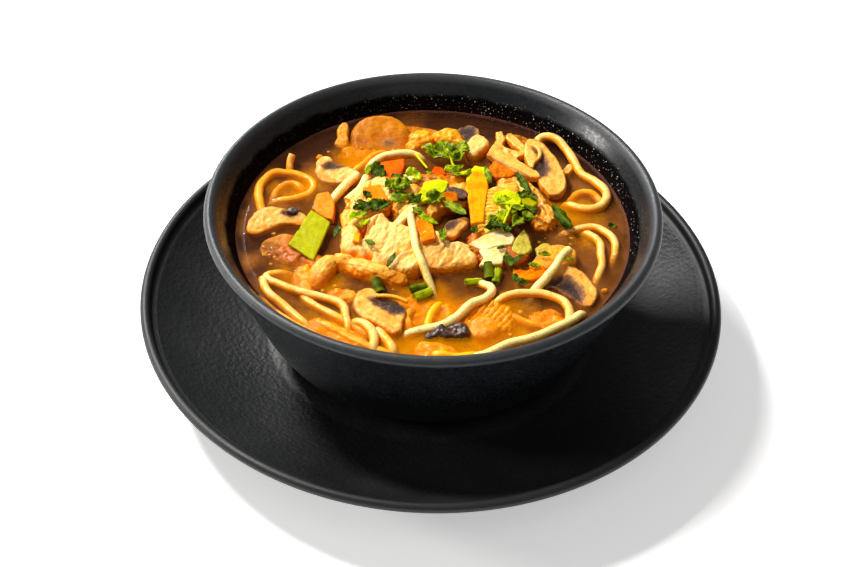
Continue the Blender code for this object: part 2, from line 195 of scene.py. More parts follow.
def lay(piece, where, heading=0.0, pitch=0.0, roll=0.0):
    """Tilt a flat piece, turn it, set its top at a height and put this into its mesh."""
    work_on(piece)
    tilt = Euler((math.radians(roll), math.radians(-pitch), 0.0)).to_matrix()
    set_down(piece, (where[0], where[1], BROTH + where[2]),
                     (turn_of(heading).to_matrix() @ tilt).to_euler())


def finish_piece(piece, name, material, slot, *nodes, angle=None):
    """Name a piece, give it its finish, and let it ride and stand for its nodes."""
    work_on(piece)
    piece.name = name
    piece.data.name = name
    piece.data.materials.clear()
    piece.data.materials.append(material)
    if angle is None:
        bpy.ops.object.shade_smooth()
    else:
        bpy.ops.object.shade_smooth_by_angle(angle=math.radians(angle))
    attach(piece, "root")
    if nodes:
        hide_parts(*nodes)
    return piece


def join(pieces):
    """Join several pieces into the first."""
    fresh()
    for piece in pieces:
        piece.select_set(True)
    bpy.context.view_layer.objects.active = pieces[0]
    bpy.ops.object.join()
    return pieces[0]


# ------------------------------------------------------------------- materials

class Finish:
    """A small helper that lays nodes for one procedural finish."""

    def __init__(self, name):
        self.material = bpy.data.materials.new(name)
        self.material.use_nodes = True
        self.tree = self.material.node_tree
        self.shader = self.tree.nodes["Principled BSDF"]
        self.object = self.node("ShaderNodeTexCoord").outputs["Object"]
        self.flat = self.node("ShaderNodeUVMap", uv_map="flat").outputs["UV"]

    def node(self, kind, inputs=None, **settings):
        made = self.tree.nodes.new(kind)
        for key, value in settings.items():
            setattr(made, key, value)
        for key, value in (inputs or {}).items():
            self.put(made.inputs[key], value)
        return made

    def put(self, socket, value):
        """Link a socket or set its constant."""
        if isinstance(value, bpy.types.NodeSocket):
            self.tree.links.new(value, socket)
        elif isinstance(value, tuple) and len(value) == 3 and socket.type == "RGBA":
            socket.default_value = (*value, 1.0)
        else:
            socket.default_value = value

    def noise(self, size, detail=3.0, rough=0.55, warp=0.0, offset=None):
        """Noise whose blobs are size mm across, from 0 to 1."""
        place = self.object
        if offset:
            place = self.node("ShaderNodeVectorMath", {0: place, 1: offset},
                              operation="ADD").outputs[0]
        return self.node("ShaderNodeTexNoise",
                         {"Vector": place, "Scale": 1.0 / (size * MM), "Detail": detail,
                          "Roughness": rough, "Distortion": warp}).outputs["Fac"]

    def grain(self, size, along, detail=3.0):
        """Noise on the flat map, drawn out along the piece."""
        scale = (MAP_SIDE / size / along, MAP_SIDE / size, 1.0)
        scaled = self.node("ShaderNodeMapping", {"Vector": self.flat, "Scale": scale})
        return self.node("ShaderNodeTexNoise",
                         {"Vector": scaled.outputs[0], "Scale": 1.0, "Detail": detail,
                          "Roughness": 0.6}).outputs["Fac"]

    def cells(self, size, output="Distance", feature="F1"):
        """Cells about size mm across."""
        return self.node("ShaderNodeTexVoronoi",
                         {"Vector": self.object, "Scale": 1.0 / (size * MM)},
                         feature=feature).outputs[output]

    def step(self, value, low, high, to_low=0.0, to_high=1.0):
        """Turn a range smoothly into another one."""
        return self.node("ShaderNodeMapRange",
                         {"Value": value, "From Min": low, "From Max": high,
                          "To Min": to_low, "To Max": to_high},
                         interpolation_type="SMOOTHSTEP").outputs[0]

    def maths(self, operation, a, b=0.0):
        return self.node("ShaderNodeMath", {0: a, 1: b}, operation=operation).outputs[0]

    def times(self, total, *factors):
        """The product of values."""
        for factor in factors:
            total = self.maths("MULTIPLY", total, factor)
        return total

    def plus(self, *terms):
        """The sum of values, a pair being a value and its weight."""
        terms = [self.times(*term) if isinstance(term, tuple) else term for term in terms]
        total = terms[0]
        for term in terms[1:]:
            total = self.maths("ADD", total, term)
        return total

    def mix(self, factor, a, b):
        """Mix two colours."""
        mixer = self.node("ShaderNodeMix", data_type="RGBA")
        for number, value in ((0, factor), (6, a), (7, b)):
            self.put(mixer.inputs[number], value)
        return mixer.outputs[2]

    def ramp(self, factor, *stops):
        """A colour ramp of (place, colour) stops."""
        made = self.node("ShaderNodeValToRGB", {"Fac": factor})
        elements = made.color_ramp.elements
        while len(elements) < len(stops):
            elements.new(0.5)
        for element, (place, colour) in zip(elements, stops):
            element.position = place
            element.color = (*colour, 1.0)
        return made.outputs["Color"]

    def axis(self, name):
        """One coordinate of a point, in mm."""
        parts = self.node("ShaderNodeSeparateXYZ", {0: self.object})
        return self.times(parts.outputs[name], 1000.0)

    def from_middle(self):
        """Distance from the upright middle axis, in mm."""
        parts = self.node("ShaderNodeSeparateXYZ", {0: self.object}).outputs
        level = self.node("ShaderNodeCombineXYZ", {0: parts[0], 1: parts[1]})
        length = self.node("ShaderNodeVectorMath", {0: level.outputs[0]}, operation="LENGTH")
        return self.times(length.outputs["Value"], 1000.0)

    def value(self, name):
        """A value painted on the piece."""
        return self.node("ShaderNodeAttribute", attribute_name=name).outputs["Fac"]

    def upward(self):
        """How far the surface looks up, from -1 to 1."""
        normal = self.node("ShaderNodeNewGeometry").outputs["Normal"]
        return self.node("ShaderNodeSeparateXYZ", {0: normal}).outputs["Z"]

    def flecks(self, colour, size, detail, offset, low, high, share, tint):
        """Small flecks of a tint over a colour."""
        fleck = self.step(self.noise(size, detail, offset=offset), low, high)
        return self.mix(self.times(fleck, share), colour, tint)

    def bump(self, *layers):
        """Bumps of (height, depth in mm, strength), each on top of the one before."""
        made = None
        for height, depth, strength in layers:
            below = {} if made is None else {"Normal": made}
            made = self.node("ShaderNodeBump", {"Height": height, "Distance": depth * MM,
                                                "Strength": strength, **below}).outputs[0]
        return made

    def soft(self, weight, radius, scale):
        """Light that goes a little way into food."""
        self.put(self.shader.inputs["Subsurface Weight"], weight)
        self.put(self.shader.inputs["Subsurface Radius"], radius)
        self.put(self.shader.inputs["Subsurface Scale"], scale * MM)

    def done(self, colour, rough, gloss, **inputs):
        """Set the shader's inputs and return the material."""
        inputs.update(Base_Color=colour, Roughness=rough, Specular_IOR_Level=gloss)
        for key, value in inputs.items():
            self.put(self.shader.inputs[key.replace("_", " ")], value)
        return self.material


def darker(colour, share):
    """A colour with each channel scaled down."""
    return tuple(channel * share for channel in colour)


def black_bowl_finish():
    """Satin black glaze, wet above the broth and brownish there with a painted reflection of the broth,
    with small pale specks painted as glints there, and a painted sheen on the lip's top.
    """
    f = Finish("satin_black_bowl")
    height = f.axis("Z")
    grain = f.noise(0.5, 4)
    streak = f.noise(1.6, 4, 0.75)
    flare = f.plus(f.from_middle(), (height, -0.6))
    inside = f.times(f.step(flare, 47.4, 45.8), f.step(height, 50.0, 53.0))
    wet = f.times(inside, f.step(f.plus(height, (f.noise(7), 3.0)), 68.6, 66.2))
    # painted glints: pale specks on the wet wall stand for glints, shown more towards the back right
    # where the light falls
    right = f.plus((f.axis("X"), 0.010), (f.axis("Y"), 0.009), (f.noise(9), 0.8))
    speck = f.times(f.step(f.cells(1.35), 0.24, 0.13), f.step(f.cells(1.35, "Color"), 0.55, 0.59))
    tiny = f.times(f.step(f.cells(0.8), 0.26, 0.12), f.step(f.cells(0.8, "Color"), 0.62, 0.66), 0.8)
    painted_glints = f.times(f.maths("MAXIMUM", speck, tiny), wet, f.step(right, 0.62, 1.25, 0.16, 1.0))
    dry = f.mix(f.step(f.noise(16), 0.35, 0.7), (0.0062, 0.0084, 0.0108), (0.0095, 0.0118, 0.0142))
    # painted reflection: the wet wall just above the broth is tinted reddish brown as a reflection of the
    # broth
    broth_reflection_tint = f.mix(f.step(height, 60.5, 64.0), (0.0050, 0.0018, 0.0014), (0.0018, 0.0014, 0.0015))
    lip = f.step(height, 69.6, 71.2)
    # painted sheen: the lip's upward-facing top is made lighter grey, standing for the sky's light on it
    top = f.times(f.step(f.upward(), 0.25, 0.80), lip, f.step(streak, 0.3, 0.7, 0.6, 1.0))
    dry = f.mix(top, dry, (0.031, 0.035, 0.039))
    clear = f.step(f.noise(3.5), 0.35, 0.65, 0.25, 1.0)
    colour = f.mix(f.times(painted_glints, clear), f.mix(wet, dry, broth_reflection_tint), (0.62, 0.61, 0.58))
    rough = f.step(f.plus(streak, (grain, 0.4)), 0.50, 1.0, 0.24, 0.42)
    bump = f.bump((f.times(grain, f.plus(0.25, lip)), 0.14, 0.7), (painted_glints, 0.25, 0.9))
    return f.done(colour, f.plus(rough, (wet, 0.36), (lip, 0.12)), f.plus(0.46, (wet, -0.45)),
                  Normal=bump)


def black_plate_finish():
    """Satin black glaze over a fine leather-like relief, smooth on the bead."""
    f = Finish("leathery_black_plate")
    fine = f.noise(0.8, 4, 0.6)
    broad = f.noise(24)
    height = f.plus((f.cells(1.7, feature="SMOOTH_F1"), 0.8), (fine, 0.6), (f.noise(3.4), 0.5))
    leathery = f.step(f.from_middle(), 114.2, 113.0, 0.10, 1.0)
    colour = f.mix(f.step(broad, 0.3, 0.7), (0.0055, 0.0062, 0.0070), (0.0085, 0.0092, 0.0100))
    return f.done(colour, f.step(f.plus(broad, fine), 0.6, 1.4, 0.46, 0.58), 0.45,
                  Normal=f.bump((f.times(height, leathery), 0.36, 0.75)))


def broth_colours(f):
    """Hazy tan broth, golden where food glows through it, dark along the wall behind where it is clear
    and in painted shadow of the wall, and in painted shade between pieces.
    """
    drift = f.noise(17, 4, 0.6, warp=0.8)
    fine = f.noise(3.6, 4, 0.65, warp=1.4)
    cloud = f.plus((f.plus(drift, -0.5), 1.3), (f.plus(fine, -0.5), 0.8))
    level = f.plus(cloud, 0.5)
    tan = f.ramp(level, (0.15, (0.150, 0.042, 0.008)), (0.50, (0.265, 0.083, 0.015)),
                 (0.85, (0.430, 0.152, 0.032)))
    golden = f.ramp(level, (0.20, (0.640, 0.188, 0.001)), (0.60, (0.800, 0.280, 0.001)),
                    (0.95, (0.950, 0.410, 0.003)))
    colour = f.mix(f.step(f.plus(f.value("gold"), (cloud, 0.7)), 0.15, 0.80), tan, golden)
    # painted shade: dark where the broth is clear over the black wall, in the wall's shadow behind and
    # between pieces
    dark_clear_and_shade = f.step(f.plus(f.value("dark_clear_and_shade"), (cloud, -0.4)), 0.20, 0.80, 0.0, 0.90)
    return f.mix(dark_clear_and_shade, colour, (0.052, 0.017, 0.010))


def broth_surface_finish():
    """The broth's clear, wet top, with a purplish brown rim at the wall."""
    f = Finish("broth_surface")
    rim = f.step(f.plus(f.from_middle(), (f.noise(9), 2.5)), 77.8, 80.2)
    edge = f.step(f.from_middle(), 74.0, 77.0)
    return f.done(f.mix(rim, broth_colours(f), (0.080, 0.026, 0.018)),
                  f.step(edge, 0.0, 1.0, 0.05, 0.55), f.step(edge, 0.0, 1.0, 0.24, 0.05),
                  Normal=f.bump((f.noise(8, 2), 0.5, 0.35), (f.noise(1.8), 0.05, 0.3)),
                  Alpha=f.step(rim, 0.0, 1.0, 0.26, 0.85))


def broth_haze_finish(name, alpha):
    """One cloudy sheet inside the broth."""
    f = Finish(name)
    thin = f.noise(10, 4, 0.65, warp=0.9)
    return f.done(broth_colours(f), 0.9, 0.0,
                  Alpha=f.step(thin, 0.3, 0.75, alpha - 0.16, alpha + 0.16))


def broth_body_finish():
    """The broth where it is too deep to see into."""
    f = Finish("broth_body")
    return f.done(f.mix(0.25, broth_colours(f), (0.12, 0.035, 0.004)), 0.6, 0.1)


def noodle_finish(name, light, soaked, soak):
    """Wheat noodle: cream on top, orange where the broth has soaked in, and more orange on the sides and
    undersides, partly soak and partly painted shade.
    """
    f = Finish(name)
    patches = f.noise(6, 4, 0.65, warp=0.6)
    fine = f.noise(0.8, 4, 0.65)
    # painted shade: the sides and undersides lean to the soaked orange, partly as real soaking
    side = f.step(f.upward(), 0.86, 0.10)
    low = f.step(f.axis("Z"), BROTH + 2.4, BROTH - 0.4)
    share = f.step(f.plus((patches, 1.1), (side, 0.50), (low, 0.16), (fine, 0.35)),
                   soak, soak + 0.5)
    middle = tuple((a * b) ** 0.5 for a, b in zip(light, soaked))
    colour = f.ramp(share, (0.0, light), (0.45, middle), (1.0, soaked))
    colour = f.flecks(colour, 0.9, 3, (0.4, 0.2, 0.1), 0.59, 0.68, 0.65, (0.66, 0.19, 0.004))
    f.soft(0.16, (1.0, 0.5, 0.08), 1.6)
    return f.done(colour, f.step(fine, 0.3, 0.7, 0.20, 0.36), 0.20,
                  Normal=f.bump((f.plus(fine, patches), 0.16, 0.6)))


def chicken_finish(name, pale, tan, soaked, wet=0.0):
    """Cooked chicken: pale fibrous ridges, orange in the hollows and near the broth, with painted shade:
    more orange on the sides, darker in fibre gaps and deep hollows.
    """
    f = Finish(name)
    fibre = f.grain(0.9, 7, 4)
    strands = f.grain(0.4, 9, 3)
    blotch = f.noise(4.6, 4, 0.66, warp=0.6)
    crumb = f.noise(0.7, 4, 0.7)
    low = f.step(f.axis("Z"), BROTH + 6.4, BROTH + 0.8)
    # painted shade: faces that turn away from the top are made more orange
    side = f.step(f.upward(), 0.80, 0.10)
    deep = f.value("hollow")
    share = f.plus((low, 0.50), (side, 0.38), (blotch, 0.80), (f.plus(deep, -0.5), 0.8), wet,
                   (crumb, 0.2))
    meat = f.mix(f.step(f.plus(fibre, (crumb, 0.4)), 0.55, 0.85), tan, pale)
    colour = f.mix(f.step(share, 0.52, 1.12), meat, soaked)
    # painted shade: fibre gaps and deep hollows are darkened
    painted_crease_shade = f.maths("MAXIMUM", f.step(strands, 0.40, 0.28, 0.0, 0.35),
                     f.step(deep, 0.66, 0.95, 0.0, 0.80))
    colour = f.mix(painted_crease_shade, colour, darker(soaked, 0.48))
    colour = f.flecks(colour, 0.8, 2, (0.1, 0.5, 0.3), 0.66, 0.74, 0.6, (0.46, 0.12, 0.005))
    pepper = f.step(f.cells(6.0), 0.060, 0.045)
    colour = f.mix(f.times(pepper, 0.85), colour, (0.030, 0.016, 0.008))
    f.soft(0.14, (1.0, 0.45, 0.08), 1.6)
    return f.done(colour, f.step(blotch, 0.3, 0.7, 0.38, 0.20), 0.20,
                  Normal=f.bump((fibre, 0.46, 0.5), (f.plus(strands, crumb), 0.24, 0.6)))


def mushroom_finish(name, flesh, edge, gloss=0.18):
    """Sliced mushroom: stained cream flesh, thin brown skin, dark gills that fade into it."""
    f = Finish(name)
    blotch = f.noise(4.2, 4, 0.66, warp=0.5)
    fine = f.noise(0.7, 4, 0.65)
    low = f.step(f.axis("Z"), BROTH + 3.0, BROTH - 0.3)
    side = f.step(f.upward(), 0.75, 0.0, 0.0, 0.55)
    share = f.plus((low, 0.30), (blotch, 1.1), (fine, 0.25), side)
    colour = f.mix(f.step(share, 0.54, 1.04), flesh, edge)
    streak = f.step(f.grain(0.8, 6, 3), 0.50, 0.32, 0.0, 0.45)
    colour = f.mix(streak, colour, darker(edge, 0.55))
    skin = f.step(f.plus(f.value("skin"), (fine, 0.5)), 0.70, 1.20, 0.0, 0.85)
    colour = f.mix(skin, colour, (0.300, 0.095, 0.014))
    stripe = f.node("ShaderNodeTexWave",
                    {"Vector": f.flat, "Scale": 34.0, "Distortion": 6.0, "Detail": 3.0,
                     "Detail Scale": 2.5}, bands_direction="Y").outputs["Fac"]
    mask = f.plus(f.value("gill"), (f.plus(f.noise(2.2, 4, 0.7), -0.5), 0.55),
                  (f.plus(stripe, -0.5), 0.16))
    dark = f.ramp(mask, (0.30, (0.60, 0.25, 0.050)), (0.50, (0.240, 0.105, 0.044)),
                  (0.68, (0.075, 0.044, 0.034)), (0.95, (0.030, 0.020, 0.019)))
    colour = f.mix(f.step(mask, 0.20, 0.48), colour, dark)
    colour = f.flecks(colour, 0.9, 2, (0.3, 0.1, 0.6), 0.60, 0.68, 0.60, (0.50, 0.15, 0.006))
    stain = f.step(f.noise(2.3, 5, 0.75, warp=0.4, offset=(0.7, 0.2, 0.4)), 0.52, 0.66)
    colour = f.mix(f.times(stain, 0.50), colour, (0.46, 0.16, 0.016))
    rows = f.times(stripe, f.step(mask, 0.4, 0.6))
    f.soft(0.14, (1.0, 0.5, 0.10), 1.5)
    return f.done(colour, f.step(fine, 0.3, 0.7, 0.26, 0.44), gloss,
                  Normal=f.bump((fine, 0.16, 0.6), (rows, 0.22, 0.7)))


def vegetable_finish(name, bright, deep, vein=0.3, size=0.7, rough=0.28):
    """A cut vegetable, a little uneven, with faint lengthwise veins, and faces that turn down darkened as
    painted shade.
    """
    f = Finish(name)
    veins = f.grain(size, 14, 2)
    fine = f.noise(0.5)
    colour = f.mix(f.step(f.noise(5, 4, 0.6), 0.35, 0.7), bright, deep)
    colour = f.mix(f.step(veins, 0.45, 0.32, 0.0, vein), colour, darker(deep, 0.55))
    # painted shade: faces that turn down are darkened
    colour = f.mix(f.step(f.upward(), 0.6, -0.2, 0.0, 0.45), colour, darker(deep, 0.55))
    f.soft(0.20, (0.8, 0.6, 0.05), 1.4)
    return f.done(colour, f.step(fine, 0.3, 0.7, rough, rough + 0.16), 0.04,
                  Normal=f.bump((veins, 0.16, 0.5), (fine, 0.06, 0.5)))


def leaf_finish(name, bright, dark):
    """Herb leaf with a lighter midrib and side veins, bright in patches."""
    f = Finish(name)
    fine = f.noise(0.45)
    vein = f.value("vein")
    colour = f.mix(f.step(f.noise(2.6, 3, 0.6), 0.40, 0.62), dark, bright)
    colour = f.mix(f.times(f.step(vein, 0.45, 0.95), 0.45), colour,
                   (min(1, bright[0] * 1.8 + 0.05), min(1, bright[1] * 1.4 + 0.05), bright[2]))
    f.soft(0.15, (0.3, 0.8, 0.05), 0.8)
    return f.done(colour, f.step(fine, 0.3, 0.7, 0.30, 0.48), 0.07,
                  Normal=f.bump((vein, 0.20, 0.8), (fine, 0.10, 0.6)))


def drop_finish():
    """Small drops and bubbles of orange oil."""
    f = Finish("oil_drops")
    colour = f.mix(f.step(f.noise(5, 2), 0.4, 0.6), (0.60, 0.22, 0.008), (0.85, 0.42, 0.02))
    return f.done(colour, 0.05, 0.6, Alpha=0.55)


def floor_finish():
    """Plain pale floor that glows a little, as a lit table does."""
    f = Finish("pale_floor")
    return f.done(f.mix(f.noise(180, 2), (0.90, 0.90, 0.90), (0.93, 0.93, 0.93)), 0.8, 0.1,
                  Emission_Color=(1.0, 1.0, 1.0), Emission_Strength=0.42)


def finish_set(make, rows):
    """Finishes by the short names that the tables use."""
    return {short: make(*row) for short, *row in rows}


NOODLE = finish_set(noodle_finish, [
    ("cream", "noodle_cream", (1.0, 0.62, 0.18), (0.92, 0.31, 0.004), 0.66),
    ("bright", "noodle_bright", (1.0, 0.78, 0.27), (0.95, 0.42, 0.010), 0.90),
    ("soaked", "noodle_soaked", (1.0, 0.45, 0.03), (0.90, 0.26, 0.002), 0.66),
    ("yellow", "noodle_yellow", (0.98, 0.48, 0.006), (0.94, 0.32, 0.002), 0.80)])
CHICKEN = finish_set(chicken_finish, [
    ("pale", "chicken_pale", (1.0, 0.66, 0.22), (0.95, 0.44, 0.050), (0.92, 0.30, 0.003)),
    ("tan", "chicken_tan", (1.0, 0.57, 0.11), (0.93, 0.37, 0.016), (0.88, 0.25, 0.002), 0.08),
    ("soaked", "chicken_soaked", (0.82, 0.35, 0.008), (0.70, 0.22, 0.002), (0.50, 0.11, 0.001), 0.25),
    ("amber", "chicken_amber", (1.0, 0.60, 0.08), (0.96, 0.42, 0.014), (0.92, 0.28, 0.002)),
    ("gold", "chicken_gold", (0.98, 0.47, 0.010), (0.94, 0.35, 0.003), (0.90, 0.25, 0.002))])
MUSHROOM = finish_set(mushroom_finish, [
    ("cream", "mushroom_cream", (0.96, 0.51, 0.10), (0.86, 0.27, 0.005)),
    ("gold", "mushroom_gold", (0.96, 0.45, 0.04), (0.88, 0.26, 0.002)),
    ("cap", "mushroom_cap", (0.64, 0.215, 0.003), (0.42, 0.095, 0.001), 0.10),
    ("dark", "mushroom_dark", (0.095, 0.058, 0.046), (0.026, 0.014, 0.011), 0.38)])
VEGETABLE = finish_set(vegetable_finish, [
    ("leek", "leek_green", (0.44, 0.42, 0.0005), (0.35, 0.34, 0.0004), 0.12, 0.5),
    ("leek_light", "leek_light", (0.66, 0.64, 0.004), (0.42, 0.48, 0.001)),
    ("carrot", "carrot_orange", (0.88, 0.26, 0.001), (0.76, 0.15, 0.0008), 0.2, 1.4),
    ("deep", "carrot_deep", (0.66, 0.17, 0.001), (0.40, 0.070, 0.0008), 0.4, 1.0),
    ("gold", "carrot_golden", (0.94, 0.25, 0.0006), (0.82, 0.165, 0.0006), 0.35, 1.0),
    ("yellow", "carrot_yellow", (0.96, 0.37, 0.001), (0.86, 0.24, 0.001), 0.55, 0.9),
    ("pepper", "pepper_red", (0.84, 0.115, 0.001), (0.66, 0.055, 0.001), 0.1, 2.0, 0.20),
    ("onion", "onion_white", (1.0, 0.80, 0.40), (0.92, 0.60, 0.16), 0.30, 0.9),
    ("onion_green", "onion_pale_green", (0.70, 0.58, 0.09), (0.46, 0.34, 0.015), 0.3, 0.8),
    ("chive", "chive_green", (0.130, 0.160, 0.001), (0.024, 0.040, 0.001), 0.85, 0.5),
    ("chive_light", "chive_light", (0.38, 0.40, 0.001), (0.12, 0.17, 0.001), 0.85, 0.6)])
PARSLEY = finish_set(leaf_finish, [
    ("green", "parsley_green", (0.270, 0.335, 0.001), (0.058, 0.110, 0.0005)),
    ("light", "parsley_light", (0.46, 0.54, 0.001), (0.14, 0.24, 0.001)),
    ("dark", "parsley_dark", (0.070, 0.125, 0.0006), (0.014, 0.030, 0.0004))])


# ------------------------------------------------------------------- stoneware

CRISP = 50                             # edges sharper than this angle stay crisp
DEEP = 4.4                             # depth at which the broth can't be seen into
# name, depth, cover of the cloudy sheets over it
SHEETS = (("broth_haze_high", 0.6, 0.22), ("broth_haze_middle", 1.5, 0.34),
          ("broth_haze_low", 2.7, 0.50))


def bezier(p0, p1, p2, p3, steps):
    """Points along a cubic curve in (radius, height)."""
    points = []
    for i in range(steps + 1):
        t = i / steps
        weights = ((1 - t) ** 3, 3 * t * (1 - t) ** 2, 3 * t * t * (1 - t), t ** 3)
        points.append(tuple(sum(w * p[k] for w, p in zip(weights, (p0, p1, p2, p3)))
                            for k in (0, 1)))
    return points


def arc(centre, radius, start, end, steps):
    """Points of an arc, its angles in degrees from outward."""
    angles = [math.radians(start + (end - start) * i / steps) for i in range(steps + 1)]
    return [(centre[0] + radius * math.cos(a), centre[1] + radius * math.sin(a)) for a in angles]


def turned(profile, steps):
    """Spin a (radius, height) profile once round the upright axis."""
    fresh()
    bpy.ops.curve.primitive_nurbs_path_add()
    curve = bpy.context.object
    curve.data.splines.clear()
    spline = curve.data.splines.new("POLY")
    spline.points.add(len(profile) - 1)
    for knot, (radius, height) in zip(spline.points, profile):
        knot.co = (radius * MM, 0.0, height * MM, 1.0)
    bpy.ops.object.convert(target="MESH")
    start_edit()
    bpy.ops.mesh.spin(steps=steps, angle=math.tau, center=(0, 0, 0), axis=(0, 0, 1))
    end_edit()
    weld()
    return bpy.context.object


def make_plate():
    """The plate: flat well, concave slope, a small step and the rounded bead."""
    well = [(0.0, 7.0), (30.0, 7.0), (55.0, 7.0), (68.6, 7.0), (69.6, 6.82), (70.6, 6.95)]
    slope = bezier((71.2, 7.05), (87.0, 9.0), (105.0, 18.5), (114.2, 26.55), 22)
    step = [(114.8, 26.75), (115.15, 26.95)]
    over = arc((117.6, 28.5), 2.0, 197, -60, 14)
    under = bezier((116.6, 24.1), (103.0, 13.0), (90.0, 5.0), (76.0, 2.4), 12)
    foot = [(74.4, 2.1), (74.0, 1.4), (74.0, 0.35), (73.6, 0.0), (68.4, 0.0), (68.0, 0.35),
            (67.0, 2.1), (66.5, 2.4), (0.0, 2.4)]
    plate = turned(well + slope + step + over + under + foot, 192)
    finish_piece(plate, "round_plate", black_plate_finish(), "stoneware", "plate", angle=CRISP)


def make_bowl():
    """The bowl: thick rounded lip, nearly straight flared wall, round-edged base."""
    floor = [(0.0, 13.3), (20.0, 13.3), (36.0, 13.3)]
    inside = bezier(*WALL, 26)[:0:-1]
    inside += bezier(inside[-1], (85.0, 70.4), (86.1, 72.95), (87.9, 72.98), 10)[1:]
    over = arc((87.5, 70.5), 2.5, 74, -28, 10)
    outside = bezier((89.0, 67.5), (75.3, 41.0), (73.3, 7.3), (51.1, 7.3), 28)
    foot = [(50.6, 7.3), (45.6, 7.3), (45.1, 7.5), (44.0, 9.1), (0.0, 9.1)]
    bowl = turned(floor + inside + over + outside + foot, 256)
    finish_piece(bowl, "flared_bowl", black_bowl_finish(), "stoneware", "bowl", angle=CRISP)


def wall_radius(height):
    """Radius of the bowl's inner wall at a height, in mm."""
    points = bezier(*WALL, 60)
    for (r0, z0), (r1, z1) in zip(points, points[1:]):
        if z1 <= height <= z0:
            return r0 + (r1 - r0) * (z0 - height) / (z0 - z1)
    return points[-1][0]


# x, y and reach of places where the broth glows golden, with how much
GLOWS = [
    (-3, -52, 13, 0.9), (19, -54, 13, 0.8), (27, -46, 8, 0.7), (9, -69, 12, 0.9), (45, -51, 8, 0.6),
    (-34, -63, 12, 0.9), (-54, -37, 8, 0.5), (-50, -55, 8, 0.3), (-10, -70, 10, 0.7),
    (31, -66, 10, 0.8), (-38, -38, 7, 0.5), (-7, -42, 8, 0.5), (3, -38, 7, 0.5), (-57, 20, 9, 0.7),
    (-68, 22, 5, 0.4), (-55, -22, 10, 0.3), (-42, -30, 8, 0.5), (-36, 26, 7, 0.4),
    (-30, 42, 11, 0.8), (-21, 50, 11, 0.9), (-36, 48, 8, 0.7), (8, 62, 9, 0.6), (-6, 58, 9, 0.6),
    (30, 33, 9, 0.6), (60, 14, 9, 0.6), (52, 10, 8, 0.7), (48, 26, 8, 0.4), (59, -6, 7, 0.5),
    (50, -26, 8, 0.5), (68, 4, 6, 0.3), (38, -30, 7, 0.5), (-50, 30, 7, 0.4),
]
# the same where it is dark: clear over the black wall, in painted shadow of the wall behind, and in
# painted shade between pieces
DARK_CLEAR_AND_SHADE = [
    (-62, 36, 9, 0.8), (-50, 56, 12, 0.9), (-34, 68, 11, 0.7), (12, 4, 7, 1.0), (6, 68, 12, 0.7),
    (30, 66, 12, 0.8), (-72, -8, 9, 0.5), (-62, -30, 6, 0.3), (-60, 14, 8, 0.3), (-64, -16, 8, 0.5),
    (-53, -12, 6, 0.5), (52, 56, 7, 1.0), (60, 50, 8, 1.0), (67, 41, 7, 1.0), (74, 31, 6, 0.8),
    (20, 73, 9, 0.9), (36, 68, 8, 0.9), (2, 76, 10, 0.7), (-20, 74, 9, 0.6), (-42, 62, 8, 0.5),
    (-56, 50, 8, 0.4), (-76, 8, 5, 0.6), (-74, -16, 6, 0.6), (-68, -32, 5, 0.5),
    (-26, -35, 6, 0.35), (52, 38, 5, 0.5), (20, -33, 6, 0.6), (58, -26, 5, 0.4), (76, -4, 5, 0.5),
    (72, -22, 5, 0.4), (-12, 40, 6, 0.35), (8, -34, 5, 0.25), (-70, -2, 4, 0.5),
]


def tint_broth(piece):
    """Paint where the broth glows golden and where it is dark, which is partly painted shade."""
    for name, places in (("gold", GLOWS), ("dark_clear_and_shade", DARK_CLEAR_AND_SHADE)):
        paint(piece, name, lambda p: sum(
            share * math.exp(-((p.x - x) ** 2 + (p.y - y) ** 2) / reach ** 2)
            for x, y, reach, share in places))


def make_broth():
    """The broth below its surface: a deep body and cloudy sheets over it."""
    body = [(5.0 * ring, BROTH - DEEP) for ring in range(15)]
    for depth in (DEEP, 8.0, 12.0, 18.0, 26.0, 34.0, 40.0):
        body.append((wall_radius(BROTH - depth) - 0.4, BROTH - depth))
    body = turned(body + [(42.0, 13.7), (0.0, 13.7)], 128)
    tint_broth(body)
    finish_piece(body, "broth_body", broth_body_finish(), "broth", "broth", angle=CRISP)
    for name, depth, cover in SHEETS:
        radius = wall_radius(BROTH - depth) - 0.2
        sheet = turned([(radius * ring / 30, BROTH - depth) for ring in range(31)], 140)
        tint_broth(sheet)
        finish_piece(sheet, name, broth_haze_finish(name, cover), "broth")


# ---------------------------------------------------------------------- noodles

RUN_UNDER, DIP = 3.6, 5.6              # how far a sunk end runs on, and how deep it goes
SUNK_WIDTH = 3.5


def run_under(points):
    """Carry a strand's ends on downwards where they dip into the broth."""
    points = list(points)
    for end, inner in ((0, 1), (-1, -2)):
        (x, y, height), (px, py, _) = points[end], points[inner]
        if height < 0.5:
            reach = RUN_UNDER / math.hypot(x - px, y - py)
            extra = (x + (x - px) * reach, y + (y - py) * reach, -DIP)
            points.insert(0 if end == 0 else len(points), extra)
    return points


def strand(points, width, ends=True):
    """A round strand through (x, y, height) points, a little uneven."""
    fresh()
    bpy.ops.curve.primitive_bezier_curve_add()
    curve = bpy.context.object
    spline = curve.data.splines[0]
    spline.bezier_points.add(len(points) - 2)
    for knot, (x, y, height) in zip(spline.bezier_points, points):
        knot.co = (x * MM, y * MM, (BROTH + height) * MM)
        knot.handle_left_type = knot.handle_right_type = "AUTO"
        knot.radius = CHANCE.uniform(0.93, 1.06)
    spline.resolution_u = 9
    curve.data.bevel_depth = width * 0.5 * MM
    curve.data.bevel_resolution = 5
    curve.data.use_fill_caps = True
    bpy.ops.object.convert(target="MESH")
    weld()
    if ends:
        round_edges(0.5, 3, 60)
    relief(5.0, 0.45)
    relief(1.3, 0.12)
    return bpy.context.object


